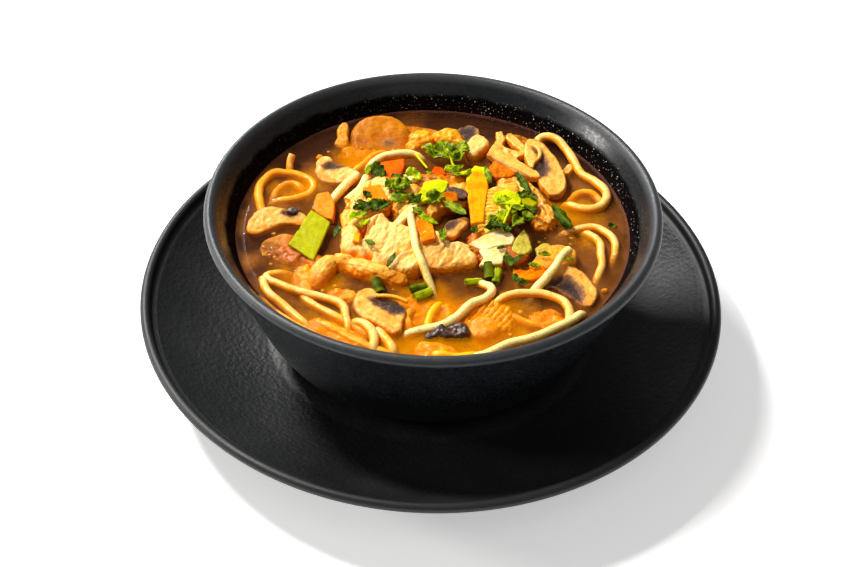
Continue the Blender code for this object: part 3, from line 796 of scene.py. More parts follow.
# name, width, finish, points of (x, y, height)
NOODLES = [
    ("long_top", 3.3, "bright",
     [(-9, -4, 7.6), (-8, -11, 7.9), (-7, -18, 7.9), (-6, -24, 7.2), (-4, -29, 5.8), (-2, -33, 3.0),
      (0, -37, 0.0), (1, -40, -2.5)]),
    ("right_top", 3.6, "bright",
     [(53, -19, 4.9), (50, -23, 5.4), (47, -29, 4.7), (44, -33, 3.3), (41, -36, 1.8), (39, -38, 0.4),
      (37.5, -40, -1.2)]),
    ("left_loop", 3.8, "soaked",
     [(-68, 2, -2.4), (-70, 8, -0.4), (-72, 19, 0.3), (-70, 26, 0.5), (-67, 30, 0.2), (-62, 31, -0.4),
      (-56, 30, -0.9), (-51, 26, -1.0), (-51, 19, -1.0), (-56, 15, -1.1), (-65, 13, -2.0)]),
    ("left_stub", 3.2, "cream",
     [(-61, 32, -1.6), (-61, 34, 0.2), (-61, 36, 2.0), (-60, 38, 4.5)]),
    ("heap_outer", 3.8, "bright",
     [(-32, 29, 1.7), (-37, 21, 1.5), (-41, 13, 0.9), (-43, 9, -0.5)]),
    ("heap_inner", 3.8, "bright", [(-28, 26, 2.6), (-30, 19, 2.4), (-35, 11, 1.8)]),
    ("back_arc", 3.2, "bright",
     [(-28, 38, -1.6), (-25, 41, 0.2), (-22, 43, 1.0), (-18, 44, 1.5), (-13, 45, 1.5), (-9, 45, 1.0),
      (-6, 44, -0.4)]),
    ("right_coil", 3.8, "cream",
     [(41, 47, -0.5), (43, 52, 1.6), (46, 57, 3.0), (51, 56, 3.8), (56, 50, 2.4), (59, 44, 1.0),
      (62, 35, 0.6), (67, 30, 0.7), (71, 23, 1.0), (70, 16, 1.0), (66, 12, 0.9), (60, 12, 0.5),
      (55, 15, -0.6)]),
    ("right_arc", 3.2, "cream",
     [(52, -2, -2.0), (56, -1, -0.4), (60, 0, 0.4), (65, 0, 0.8), (69, -3, 0.9), (72, -8, 0.8),
      (72, -13, -0.2), (71, -17, -1.8)]),
    ("right_bar", 3.4, "cream",
     [(60, -1, -1.8), (63, -4, -0.2), (66, -9, 0.5), (66, -16, 0.6), (66, -22, 0.4), (64, -28, -0.8),
      (63, -31, -2.0)]),
    ("front_wave", 3.5, "bright",
     [(17, -33, -0.6), (20, -35, 0.2), (23, -38, 1.0), (21, -43, 1.1), (15, -47, 1.0), (10, -54, 1.0),
      (4, -59, 1.0), (-4, -61, 0.2), (-8, -62, -1.0)]),
    ("front_arc", 3.5, "cream",
     [(23, -46, -1.6), (25, -44, -0.3), (30, -41, 0.8), (37, -40, 1.0), (45, -41, 1.0), (51, -46, 0.9),
      (51, -54, -0.3), (49, -58, -1.8)]),
    ("front_rim", 3.4, "bright",
     [(14, -74, -1.4), (22, -71, 0.2), (29, -67, 1.0), (37, -64, 1.0), (45, -59, 1.0), (52, -54, 0.7),
      (56, -50, 0.2)]),
    ("front_left", 3.4, "cream",
     [(-55, -30, -2.6), (-59, -31, -1.2), (-63, -34, -0.3), (-58, -38, 0.2), (-50, -42, 0.4),
      (-41, -45, 0.6), (-33, -49, 0.7), (-31, -55, 0.1), (-30, -59, -0.8), (-30, -63, -2.2)]),
    ("left_rim", 3.5, "cream",
     [(-64, -36, 0.2), (-62, -42, 0.7), (-56, -48, -0.1), (-50, -54, -0.9), (-45, -59, -1.6)]),
    ("front_hook", 3.8, "cream",
     [(-27, -57, -0.6), (-25, -58, 0.2), (-22, -61, 0.8), (-20, -66, 0.8), (-20, -70, 0.2)]),
]

# finish, points
SUNK_NOODLES = [
    ("cream", [(-50, -40, -1.6), (-46, -46, -1.0), (-38, -52, -0.8), (-30, -57, -1.2),
     (-24, -62, -2.0)]),
    ("soaked", [(-66, 16, -2.4), (-64, 22, -1.6), (-59, 25, -1.3), (-55, 22, -1.7)]),
    ("soaked", [(-34, 34, -1.6), (-30, 40, -1.2), (-26, 46, -1.4), (-22, 49, -2.2)]),
    ("soaked", [(54, 16, -2.2), (57, 20, -1.0), (60, 23, -0.6), (64, 24, -0.7), (67, 22, -1.0),
     (69, 18, -1.8)]),
    ("cream", [(-19, -61, -0.8), (-17, -64, -0.2), (-15, -67, 0.0), (-13, -71, -0.4)]),
    ("yellow", [(3, -46, -1.2), (1, -50, -0.6), (0, -53, -0.5), (-1, -57, -1.2)]),
    ("soaked", [(-40, -58, -1.2), (-32, -63, -0.9), (-24, -68, -1.0), (-14, -73, -1.6)]),
    ("yellow", [(2, -72, -1.2), (10, -73, -0.9), (18, -72, -1.1)]),
    ("soaked", [(30, -50, -2.0), (36, -54, -1.4), (42, -55, -1.6), (47, -52, -2.2)]),
    ("soaked", [(-8, 52, -1.8), (2, 54, -1.4), (12, 53, -2.0)]),
    ("cream", [(-66, -44, -2.2), (-58, -52, -1.4), (-48, -60, -1.2), (-38, -66, -1.4),
     (-30, -70, -2.0)]),
    ("soaked", [(-7, -50, -1.0), (-9, -54, -0.7), (-8, -57, -1.2)]),
]


def make_noodles():
    """Every strand that shows, with its buried ends, and those under the surface."""
    for name, width, finish, points in NOODLES:
        finish_piece(strand(run_under(points), width), f"strand_{name}", NOODLE[finish], "noodle",
                     f"noodle_{name}")
    for number, (finish, points) in enumerate(SUNK_NOODLES):
        finish_piece(strand(run_under(points), SUNK_WIDTH), f"sunk_strand_{number}",
                     NOODLE[finish], "noodle")


# ------------------------------------------------------------ flat and torn food

SWAY = 1.3                             # how far a groove wanders from its line
HOLLOW_DEPTH = 0.5                     # depth that counts as a full hollow
RIB_SPACING = 2.1
FINE, COARSE = 0.42, 0.55              # face sizes of chicken in sight and sunk


def plane_of(rim):
    """Centre of (x, y, height) points and the slopes of the plane through them."""
    centre = [sum(p[k] for p in rim) / len(rim) for k in range(3)]

    def spread(i, j):
        return sum((p[i] - centre[i]) * (p[j] - centre[j]) for p in rim)

    whole = spread(0, 0) * spread(1, 1) - spread(0, 1) ** 2
    slope_x = (spread(0, 2) * spread(1, 1) - spread(1, 2) * spread(0, 1)) / whole
    slope_y = (spread(1, 2) * spread(0, 0) - spread(0, 2) * spread(0, 1)) / whole
    return Vector(centre), slope_x, slope_y


def settle(piece, rim, heading):
    """Lay a flat piece on the plane of its rim, its own X turned to a heading."""
    centre, slope_x, slope_y = plane_of(rim)
    upright = Vector((-slope_x, -slope_y, 1.0)).normalized()
    turn = Vector((0, 0, 1)).rotation_difference(upright) @ turn_of(heading).to_quaternion()
    work_on(piece)
    set_down(piece, (centre.x, centre.y, BROTH + centre.z), turn.to_euler())


def slab(rim, thickness, edge, heading, corners=()):
    """A flat piece cut along a rim of (x, y, height) points, its top at zero, edges rounded.

    The outline is smooth except at the points numbered in corners, or sharp at all.
    """
    centre = plane_of(rim)[0]
    turn = turn_of(-heading).to_matrix()
    fresh()
    bpy.ops.curve.primitive_bezier_circle_add()
    curve = bpy.context.object
    curve.data.dimensions = "2D"
    curve.data.fill_mode = "BOTH"
    curve.data.splines.clear()
    spline = curve.data.splines.new("BEZIER")
    spline.bezier_points.add(len(rim) - 1)
    spline.use_cyclic_u = True
    for number, (knot, place) in enumerate(zip(spline.bezier_points, rim)):
        knot.co = turn @ Vector(((place[0] - centre.x) * MM, (place[1] - centre.y) * MM, 0.0))
        sharp = corners == "all" or number in corners
        knot.handle_left_type = knot.handle_right_type = "VECTOR" if sharp else "AUTO"
    spline.resolution_u = 6
    curve.data.extrude = (thickness * 0.5 - edge) * MM
    curve.data.bevel_depth = edge * MM
    curve.data.bevel_resolution = 4
    curve.data.offset = -edge * MM
    bpy.ops.object.convert(target="MESH")
    piece = bpy.context.object
    set_down(piece, (0, 0, -thickness * 0.5))
    weld()
    return piece


def lump(x, y, top, length, width, thickness, heading=0.0, pitch=0.0):
    """A rounded lump, length along its heading, its top at a height."""
    fresh()
    bpy.ops.mesh.primitive_cube_add(size=1.0)
    piece = bpy.context.object
    apply("SUBSURF", levels=5, render_levels=5)
    piece.scale = (length * 1.18 * MM, width * 1.18 * MM, thickness * 1.15 * MM)
    set_down(piece, (0, 0, -thickness * 0.5))
    lay(piece, (x, y, top), heading, pitch)
    return piece


def shift_all(piece, move):
    """Move every vertex of a piece."""
    for vertex in piece.data.vertices:
        vertex.co += move


def cut(rim, thickness, edge, heading, corners=(), voxel=0.40, rounds=0, reliefs=(),
        shift=(0.0, 0.0)):
    """A piece cut along its rim, uneven by reliefs of (scale, strength), in its place."""
    piece = slab(rim, thickness, edge, heading, corners)
    dense(voxel)
    if rounds:
        smooth(rounds)
    keep_local_map(piece)
    move = Vector((*shift, 0.0)) * MM
    shift_all(piece, move)
    for scale, strength in reliefs:
        relief(scale, strength)
    shift_all(piece, -move)
    settle(piece, rim, heading)
    piece.data.update()
    return piece


def to_edge(point, a, b):
    """Distance in mm from a point to a straight edge, seen from above."""
    abx, aby, apx, apy = b[0] - a[0], b[1] - a[1], point[0] - a[0], point[1] - a[1]
    t = clamp((apx * abx + apy * aby) / (abx ** 2 + aby ** 2))
    return math.hypot(apx - t * abx, apy - t * aby)


def near_line(point, line):
    """Distance in mm from a point to a line of (x, y) points, seen from above."""
    return min(to_edge(point, a, b) for a, b in zip(line, line[1:]))


def inside_by(point, outline):
    """How far a point is inside an outline in mm, negative outside it."""
    closed = outline + outline[:1]
    within = False
    for (ax, ay), (bx, by) in zip(closed, closed[1:]):
        if (ay > point[1]) != (by > point[1]) and \
                point[0] < ax + (bx - ax) * (point[1] - ay) / (by - ay):
            within = not within
    return near_line(point, closed) if within else -near_line(point, closed)


def groove(piece, line, width, depth):
    """Press a wandering groove, or with a negative depth raise a ridge, along a line."""
    piece.data.update()
    for vertex in piece.data.vertices:
        if vertex.normal.z < -0.2:
            continue
        place = vertex.co / MM
        sway = noise.noise_vector(place * 0.35) * SWAY
        far = near_line(place + sway, line)
        if far < width * 2.5:
            vertex.co.z -= depth * MM * math.exp(-(far / width) ** 2)


def paint_hollows(piece):
    """Paint how far each point lies in a hollow, 0.5 being level with what is round it."""
    fresh()
    level = piece.copy()
    level.data = piece.data.copy()
    bpy.context.collection.objects.link(level)
    work_on(level)
    smooth(8)
    values = new_values(piece, "hollow")
    for vertex, other in zip(piece.data.vertices, level.data.vertices):
        gap = (other.co - vertex.co).dot(vertex.normal) / MM
        values[vertex.index].value = clamp(0.5 + gap / HOLLOW_DEPTH)
    bpy.ops.object.delete()
    work_on(piece)


def torn(rims, lumps, thickness, edge, heading, tear, fibre, grooves, ribs, seed, voxel):
    """Torn chicken grown from slabs along rims and from lumps, with fibres along the heading."""
    parts = [lump(*row) for row in lumps]
    for rim in rims:
        piece = slab(rim, thickness, min(edge, thickness * 0.48), heading)
        settle(piece, rim, heading)
        parts.append(piece)
    whole = join(parts) if len(parts) > 1 else work_on(parts[0])
    dense(voxel)
    smooth(6)
    centre = plane_of(rims[0])[0] if rims else Vector(lumps[0][:3])
    turn, back = turn_of(heading).to_matrix(), turn_of(-heading).to_matrix()
    middle = Vector((centre.x * MM, centre.y * MM, (BROTH + centre.z) * MM))
    shift = Vector((seed * 7.3, seed * 3.1, seed * 1.7)) * MM
    for vertex in whole.data.vertices:
        vertex.co = back @ (vertex.co - middle) + shift
    relief(8.0, tear * 2.0)
    relief(3.0, tear * 0.8)
    relief(1.5, fibre * 1.1, 3.5)
    relief(0.8, fibre * 0.6, 3.0)
    relief(1.7, 0.32, kind="VORONOI")
    shift_all(whole, -shift)
    if ribs:
        for vertex in whole.data.vertices:
            x, y = vertex.co.x / MM, vertex.co.y / MM
            wave = math.sin(y * math.tau / RIB_SPACING + 0.7 * math.sin(x * 0.45))
            vertex.co.z -= ribs * MM * max(0.0, wave) ** 1.5
    keep_local_map(whole)
    for vertex in whole.data.vertices:
        vertex.co = turn @ vertex.co + middle
    for line, width, depth in grooves:
        groove(whole, line, width, depth)
    whole.data.update()
    paint_hollows(whole)
    return whole


# name, rims, lumps, thickness, edge, heading, tear, fibre, grooves, ribs, finish, nodes
CHICKEN_PIECES = [
    ("slab",
     [[(-36, -24, 4.2), (-34, -20, 5.4), (-30, -18, 6.6), (-27, -15, 7.2), (-25, -6, 7.6),
       (-21, -3, 7.9), (-17, -7, 8.0), (-10, -9, 8.0), (-4, -11, 7.8), (-3, -18, 7.4), (-3, -27, 5.4),
       (-6, -32, 4.2), (-14, -33, 4.0), (-22, -31, 4.4), (-30, -28, 4.0)],
      [(-8, -12, 7.6), (-1, -12, 7.6), (3, -12, 7.2), (6, -16, 7.0), (11, -16, 6.6), (15, -19, 5.6),
       (18, -23, 4.2), (17, -26, 2.8), (11, -28, 2.4), (4, -30, 2.4), (-3, -29, 3.8), (-7, -24, 6.2)],
      [(-36, -9, 5.8), (-31, -8, 6.6), (-29, -13, 7.0), (-30, -20, 6.4), (-35, -22, 5.2),
       (-36, -16, 5.4)]], [], 8.0, 2.0, 58, 1.0, 0.26,
     [([(-22, -5), (-25, -13), (-30, -19)], 0.6, 1.6), ([(-34, -23), (-29, -25), (-24, -26)], 1.2, 3.6),
      ([(-4, -12), (-8, -20), (-14, -25), (-18, -29)], 1.1, 0.9),
      ([(-2, -14), (-7, -22), (-13, -26)], 0.9, -0.8), ([(4, -14), (5, -19), (3, -24)], 0.6, 0.5),
      ([(9, -18), (8, -24), (6, -27)], 0.6, 0.5), ([(-18, -9), (-17, -15), (-21, -23)], 0.5, 0.4),
      ([(-25, -24), (-23, -25)], 0.6, 1.3)], 0, "pale",
     ("chicken_centre", "chicken_right", "chicken_pale_left")),
    ("rolled", [],
     [(-25, -30, 5.4, 27, 8.5, 9.0, -22, 4), (-34, -26, 5.0, 9, 7.5, 8.5, -40, 0),
      (-14, -34, 3.6, 10, 7, 7.5, -12, 4)], 8.5, 3.6, -22, 0.8, 0.5,
     [([(-36, -23), (-26, -26), (-14, -31)], 0.8, 0.8)], 0, "tan", ("chicken_roll",)),
    ("ball", [], [(-42.6, -32.4, 4.2, 18.5, 9.5, 9.0, 62, 14)], 8.5, 3.8, 60, 0.6, 0.2, [], 0, "tan",
     ("chicken_oval",)),
    ("grooved",
     [[(17, 15, 6.0), (22, 17, 6.8), (28, 20, 7.0), (33, 22, 6.4), (35, 17, 6.4), (34, 10, 7.0),
       (31, 3, 7.0), (28, -3, 6.2), (22, -7, 5.6), (18, -8, 5.2), (17, 0, 6.0)]],
     [], 9.0, 2.4, 4, 0.6, 0.3, [([(27, 21), (29, 12), (25, 2)], 0.8, 0.6)], 0.8, "amber",
     ("chicken_ribbed",)),
    ("strand",
     [[(35, 23, 5.0), (40, 21, 5.4), (44, 17, 5.0), (47, 11, 4.0), (50, 5, 2.8), (48, 0, 2.2),
       (43, -3, 2.4), (40, 0, 3.4), (41, 6, 4.6), (38, 13, 5.2), (34, 18, 5.2)]],
     [], 8.0, 2.2, -66, 1.1, 1.1,
     [([(38, 21), (42, 14), (46, 4)], 0.6, 0.9), ([(36, 20), (40, 12), (43, 2)], 0.5, 0.8)],
     0, "tan", ("chicken_strip",)),
    ("pinkish",
     [[(13, 44, 3.8), (14, 52, 4.2), (17, 56, 5.0), (19, 56, 5.4), (23, 51, 4.8), (20, 46, 4.2),
       (16, 42, 3.6)]], [], 8.0, 1.4, 52, 0.5, 0.15, [], 0, "pale", ("chicken_pale_back",)),
    ("gold_left", [],
     [(-6, 56, 4.2, 13, 10, 9.0, 20, 0), (-9, 53, 2.6, 8, 8, 7.0, 0, 0)], 8.0, 3.2, 20, 1.6, 0.3, [], 0,
     "gold", ("chicken_back_left",)),
    ("gold_right", [],
     [(5, 57, 5.0, 13, 11, 9.0, 10, 2), (9, 54, 3.6, 8, 8, 8.0, 0, 0)], 8.5, 3.4, 20, 1.6, 0.3, [], 0,
     "gold", ("chicken_back_right",)),
    ("under_noodles",
     [[(-36, 8, 3.4), (-34, 18, 4.4), (-28, 24, 5.0), (-20, 24, 5.6), (-16, 16, 6.2), (-18, 6, 6.4),
       (-24, 0, 6.4), (-32, 0, 5.0)]], [], 9.0, 3.0, 64, 1.2, 0.8,
     [([(-31, 22), (-34, 10), (-33, 2)], 0.8, 1.3), ([(-26, 22), (-29, 8)], 0.7, 0.8)],
     0, "pale", ()),
    ("left_edge",
     [[(-37, 4, 3.2), (-31, 4, 5.4), (-28, -2, 6.4), (-29, -9, 6.6), (-35, -9, 4.6), (-38, -3, 3.2)]],
     [], 9.0, 2.6, 84, 1.1, 0.8, [], 0, "tan", ()),
    ("middle",
     [[(-14, 16, 5.8), (-4, 20, 6.0), (8, 22, 5.6), (15, 18, 5.4), (15, 11, 5.2), (6, 8, 5.2),
       (0, 1, 5.4), (-4, -5, 5.8), (-10, -4, 6.2), (-16, 4, 6.4)]], [], 9.0, 2.8, 30, 1.6, 0.5,
     [([(-6, 18), (-4, 8), (-2, 0)], 1.2, 1.4)], 0, "tan", ()),
    ("heap_back",
     [[(-14, 26, 3.4), (-4, 31, 3.6), (8, 32, 3.8), (16, 27, 4.2), (14, 18, 4.8), (0, 16, 4.8),
       (-12, 18, 4.4)]], [], 8.0, 3.0, 10, 1.6, 0.5, [], 0, "soaked", ()),
    ("heap_right",
     [[(28, 30, 3.0), (36, 30, 3.2), (42, 24, 3.4), (44, 16, 3.2), (36, 12, 3.6), (28, 18, 4.0)]],
     [], 7.0, 2.6, -50, 1.4, 0.8, [], 0, "tan", ()),
    ("right_low",
     [[(14, -10, 3.8), (22, -6, 4.4), (32, -8, 4.4), (38, -14, 3.4), (36, -22, 2.4), (26, -26, 2.2),
       (16, -20, 3.0)]], [], 7.0, 2.6, 10, 1.4, 0.6, [], 0, "soaked", ()),
    ("sunk_front",
     [[(12, -44, 0.3), (20, -42, 0.5), (29, -44, 0.5), (32, -51, 0.4), (31, -58, 0.3), (24, -61, 0.3),
       (14, -58, 0.4), (10, -50, 0.3)]], [], 7.0, 2.6, 60, 1.4, 0.3, [], 0.5, "gold", ()),
    ("sunk_lump",
     [[(17, -53, 1.0), (24, -54, 1.2), (26, -59, 1.0), (22, -63, 0.8), (15, -62, 0.8)]],
     [], 6.0, 2.2, 10, 0.8, 0.2, [], 0, "tan", ()),
    ("sunk_right",
     [[(37, -50, -0.2), (43, -46, -0.1), (50, -50, -0.2), (51, -56, -0.3), (44, -58, -0.3),
       (38, -55, -0.3)]], [], 6.0, 2.4, 20, 1.6, 0.3, [], 0, "gold", ()),
    ("sunk_rim",
     [[(-5, -67, 0.4), (2, -66, 0.6), (9, -68, 0.5), (12, -72, 0.3), (6, -75, 0.2), (-3, -74, 0.2)]],
     [], 6.0, 2.2, 0, 1.4, 0.3, [], 0, "gold", ()),
    ("sunk_left",
     [[(-64, -18, 0.0), (-56, -15, 0.8), (-48, -18, 1.0), (-42, -23, 1.2), (-43, -29, 0.8),
       (-51, -28, 0.4), (-60, -25, 0.0)]], [], 7.0, 2.4, -24, 1.9, 0.8, [], 0, "soaked", ()),
    ("sunk_side",
     [[(-52, -28, 0.4), (-47, -27, 1.4), (-46, -36, 1.6), (-44, -42, 0.4), (-50, -42, -0.2),
       (-54, -36, -0.2)]], [], 7.0, 2.4, 80, 1.4, 0.5, [], 0, "gold", ()),
    ("sunk_mid",
     [[(-40, -41, 0.2), (-32, -39, 0.6), (-27, -42, 0.4), (-28, -46, 0.0), (-36, -46, 0.0)]],
     [], 5.0, 1.8, 0, 1.6, 0.6, [], 0, "gold", ()),
    ("sunk_floor",
     [[(-46, -56, 0.2), (-38, -56, 0.4), (-30, -60, 0.4), (-22, -66, 0.3), (-26, -71, 0.2),
       (-36, -66, 0.1), (-44, -62, 0.1)]], [], 6.0, 2.2, -34, 1.2, 0.4, [], 0, "gold", ()),
    ("sunk_back",
     [[(-40, 50, -1.2), (-30, 54, -0.8), (-18, 54, -0.6), (-10, 50, -0.8), (-14, 46, -1.0),
       (-28, 45, -1.2), (-38, 44, -1.6)]], [], 6.0, 2.4, 10, 1.8, 0.4, [], 0, "gold", ()),
    ("sunk_middle",
     [[(-12, -42, -1.0), (-2, -42, -0.8), (8, -45, -0.8), (8, -54, -0.9), (-2, -58, -1.0),
       (-12, -52, -1.2)]], [], 6.0, 2.4, 10, 2.0, 0.4, [], 0, "gold", ()),
]


def make_chicken():
    """Every piece of chicken, in the heap and sunk round it."""
    for number, (name, *sizes, finish, nodes) in enumerate(CHICKEN_PIECES, 1):
        piece = torn(*sizes, number, FINE if nodes else COARSE)
        finish_piece(piece, f"chicken_{name}", CHICKEN[finish], "chicken", *nodes)


# -------------------------------------------------------------------- mushrooms

# name, rim, thickness, heading, gills, skin side (from rim point to rim point), finish, nodes
MUSHROOM_CUTS = [
    ("slice_right_back",
     [(41, 54, 4.2), (46, 51, 4.6), (49, 46, 4.8), (52, 40, 4.8), (54, 33, 4.6), (55, 26, 4.2),
      (54, 21, 3.8), (51, 17, 3.4), (48, 17, 3.4), (46, 20, 3.6), (44, 23, 4.0), (43, 27, 4.4),
      (41, 32, 4.8), (39, 37, 4.8), (38, 42, 4.6), (38, 47, 4.4), (39, 52, 4.2)],
     3.6, 70,
     [(41.5, 47), (44.5, 47), (47, 41), (48.5, 34), (47, 29), (44, 28), (40.5, 31), (40, 34.5),
      (43, 38), (43.5, 42), (42, 45)], (0, 8), "cream", ("mushroom_right_back",)),
    ("slice_right",
     [(44, -28, 2.8), (48, -25, 3.2), (52, -25, 3.2), (56, -27, 3.0), (59, -30, 2.8), (61, -34, 2.5),
      (63, -38, 2.2), (62, -43, 1.8), (60, -46, 1.4), (57, -46, 1.2), (54, -43, 1.2), (51, -40, 1.5),
      (47, -37, 1.8), (43, -36, 2.0), (42, -32, 2.4)], 3.4, 30,
     [(42, -36), (45, -33), (48, -31), (52, -31), (54, -33), (57, -37), (58, -41), (57, -45), (54, -43),
      (51, -40), (47, -37)], (1, 9), "cream", ("mushroom_right",)),
    ("slice_yellow",
     [(38, -26, 2.2), (40, -21, 2.8), (43, -16, 3.2), (47, -14, 3.4), (52, -14, 3.3), (56, -16, 3.0),
      (56, -21, 2.6), (54, -24, 2.4), (48, -25, 2.2), (43, -27, 2.0)], 3.4, 80, None, (1, 6), "gold",
     ("mushroom_yellow",)),
    ("slice_left",
     [(-74, -4, 2.0), (-72, 1, 2.6), (-69, 4, 3.0), (-65, 5, 3.1), (-60, 4, 2.8), (-56, 3, 2.6),
      (-51, 1, 2.4), (-51, -4, 1.8), (-56, -4, 1.7), (-60, -4, 1.5), (-65, -7, 1.2), (-70, -10, 1.0),
      (-73, -9, 1.2)], 3.6, 20, [(-60, 3), (-55, 3), (-54, 1), (-57, -1), (-61, 1)], (0, 4), "cream",
     ("mushroom_left",)),
    ("slice_left_rear",
     [(-50, 34, 1.6), (-49, 39, 2.2), (-45, 40, 2.6), (-42, 36, 2.6), (-38, 35, 2.6), (-34, 32, 2.8),
      (-31, 28, 2.6), (-33, 25, 1.6), (-38, 24, 1.0), (-43, 24, 0.6), (-48, 26, 0.6), (-50, 30, 1.0)],
     3.4, -30,
     [(-47.5, 34), (-45, 36.5), (-41, 36.5), (-36, 34.5), (-39, 33), (-42, 31.4), (-46, 32)],
     (8, 11), "cream", ("mushroom_left_rear",)),
    ("slice_front",
     [(-23, -41, 2.8), (-26, -42, 2.8), (-28, -45, 2.8), (-29, -49, 2.6), (-28, -53, 2.4),
      (-26, -56, 2.3), (-22, -58, 2.3), (-17, -61, 2.3), (-12, -64, 2.3), (-10, -58, 2.4),
      (-9, -52, 2.4), (-12, -48, 2.5), (-17, -46, 2.6), (-20, -43, 2.7)], 3.8, -38,
     [(-23, -47), (-19, -45), (-13, -47), (-8, -50), (-9, -54), (-13, -55), (-17, -53), (-21, -50)],
     (1, 5), "cream", ("mushroom_front",)),
    ("slice_back",
     [(6, 53, 3.2), (8, 58, 4.2), (12, 62, 5.0), (17, 62, 5.0), (19, 57, 4.4), (15, 53, 3.6),
      (10, 50, 3.0)], 3.4, 40,
     [(5, 53), (8, 59), (12, 63), (18, 62), (18, 57), (14, 52), (10, 49)], None, "cream",
     ("mushroom_back",)),
    ("slice_small",
     [(5, -9, 4.2), (5, -4, 5.2), (9, -2, 5.8), (13.5, -1.5, 6.0), (14, -5, 5.6), (11, -9, 4.8),
      (7, -12, 4.0)], 2.6, 60, [(4, -8), (5, -3), (9, -1.5), (10.5, -4), (9, -7), (6, -9)], (3, 5),
     "cream", ("mushroom_small",)),
    ("mushroom_chip",
     [(54.5, 40, 0.6), (57.6, 41.4, 1.8), (58.0, 37, 2.0), (55.0, 35, 1.0)], 2.8, 20, None, None,
     "cream", ()),
    ("slice_sunk_left",
     [(-68, -16, -0.8), (-62, -9, -0.3), (-54, -9, -0.1), (-50, -14, -0.2), (-54, -20, -0.6),
      (-62, -22, -1.0)], 3.4, 10, None, None, "gold", ()),
    ("slice_sunk_back",
     [(-22, 66, -1.0), (-14, 68, -0.6), (-4, 67, -0.5), (2, 63, -0.6), (-6, 59, -0.8), (-16, 60, -1.0)],
     3.4, 0, None, None, "gold", ()),
    ("slice_sunk_rim",
     [(26, 60, -0.9), (32, 64, -0.6), (40, 62, -0.6), (42, 56, -0.8), (36, 52, -0.9), (28, 54, -1.0)],
     3.4, 30, None, None, "gold", ()),
]

# Both tables: name, rim, thickness, edge, heading, sharp corners, voxel, smoothing, reliefs,
# finish, nodes
ODD_CUTS = [
    ("stem_slice",
     [(22, 43, 4.0), (24, 49, 3.8), (26, 54, 3.2), (26, 61, 2.4), (29, 62, 2.2), (30, 55, 3.0),
      (29, 51, 3.6), (34, 47, 3.8), (36, 46, 3.6), (33, 52, 3.2), (31, 60, 2.6), (33, 61, 2.4),
      (37, 54, 2.8), (40, 48, 3.2), (38, 44, 4.2), (35, 41, 4.8), (38, 36, 5.0), (43, 31, 4.8),
      (44, 27, 4.4), (39, 27, 4.4), (33, 31, 4.6), (27, 37, 4.4)], 3.0, 0.4, -50, (0, 3, 4, 11, 13, 18),
     0.42, 0, ((5.0, 1.0),), "cream", ("mushroom_stem_slice",)),
    ("stem_strip",
     [(-43, 50, -0.6), (-42.6, 56, 2.2), (-42.4, 60, 3.8), (-40.8, 62.4, 4.6), (-38.4, 62, 4.6),
      (-38, 57, 3.0), (-38.6, 50, -0.4)], 4.0, 0.8, 84, (), 0.42, 0, ((4.0, 1.4),), "gold",
     ("mushroom_stem_strip",)),
    ("round_cap",
     [(-37, 54, 0.6), (-37, 60, 3.0), (-33, 65, 5.2), (-26, 68, 6.4), (-18, 67, 6.2), (-12, 62, 4.4),
      (-10, 56, 2.0), (-12, 49, -1.4), (-18, 44, -3.4), (-27, 43, -3.6), (-34, 47, -2.0)],
     7.0, 2.6, 0, (), 0.45, 8, ((9.0, 1.6), (2.0, 0.2)), "cap", ("mushroom_cap_back",)),
]
DARK_CUTS = [
    ("dark_shred",
     [(5, 15, 7.0), (11, 15.4, 7.0), (14, 12, 6.6), (12, 9.5, 6.6), (7, 11, 6.8)],
     2.4, 0.5, 20, (), 0.4, 0, ((2.0, 0.8),), "dark", ()),
    ("dark_gills_front",
     [(-1, -62, 1.4), (2, -59, 2.4), (7, -58.5, 3.0), (11, -58, 3.0), (14.5, -60, 2.6),
      (14.5, -63.5, 1.8), (9, -65, 1.4), (3, -64.5, 1.2), (-1, -66, 0.8)], 5.0, 2.0, 0, (), 0.4, 0,
     ((3.4, 2.6), (1.4, 0.6)), "dark", ("mushroom_sunk_front",)),
]
# name, width, finish, points
CURLED_EDGES = [
    ("cap_edge_front", 1.7, "gold",
     [(-20.5, -45.6, 2.6), (-17, -46.1, 3.3), (-12.5, -47.2, 3.5), (-8.4, -49.0, 3.2)]),
    ("curled_flap_back", 1.8, "cream",
     [(40.3, 49.2, 4.2), (42.3, 48.2, 4.7), (44.0, 45.9, 4.8), (44.4, 43.0, 4.7), (43.6, 39.8, 4.6),
      (41.5, 36.9, 4.5), (40.6, 33.6, 4.2)]),
]


GILL_DEPTH, GILL_ROWS = 1.1, 0.14       # how deep gills lie, and their rows


def paint_cut(piece, gills=None, skin=None):
    """Paint the gills from their outline and the skin along part of the rim."""
    paint(piece, "gill", lambda p: 0.46 + inside_by(p, gills) * 0.15 if gills else 0.0)
    paint(piece, "skin", lambda p: 1.0 - near_line(p, skin) * 0.55 if skin else 0.0)


def sink_gills(piece, gills):
    """Sink the gills a little, in fine rows."""
    for vertex in piece.data.vertices:
        if vertex.normal.z > 0.2:
            share = clamp(inside_by(vertex.co / MM, gills) / 1.8 + 0.2)
            rows = GILL_ROWS * math.sin(vertex.co.x / MM * 6.4 + vertex.co.y / MM * 2.5)
            vertex.co.z -= (GILL_DEPTH + rows) * share * MM
    piece.data.update()


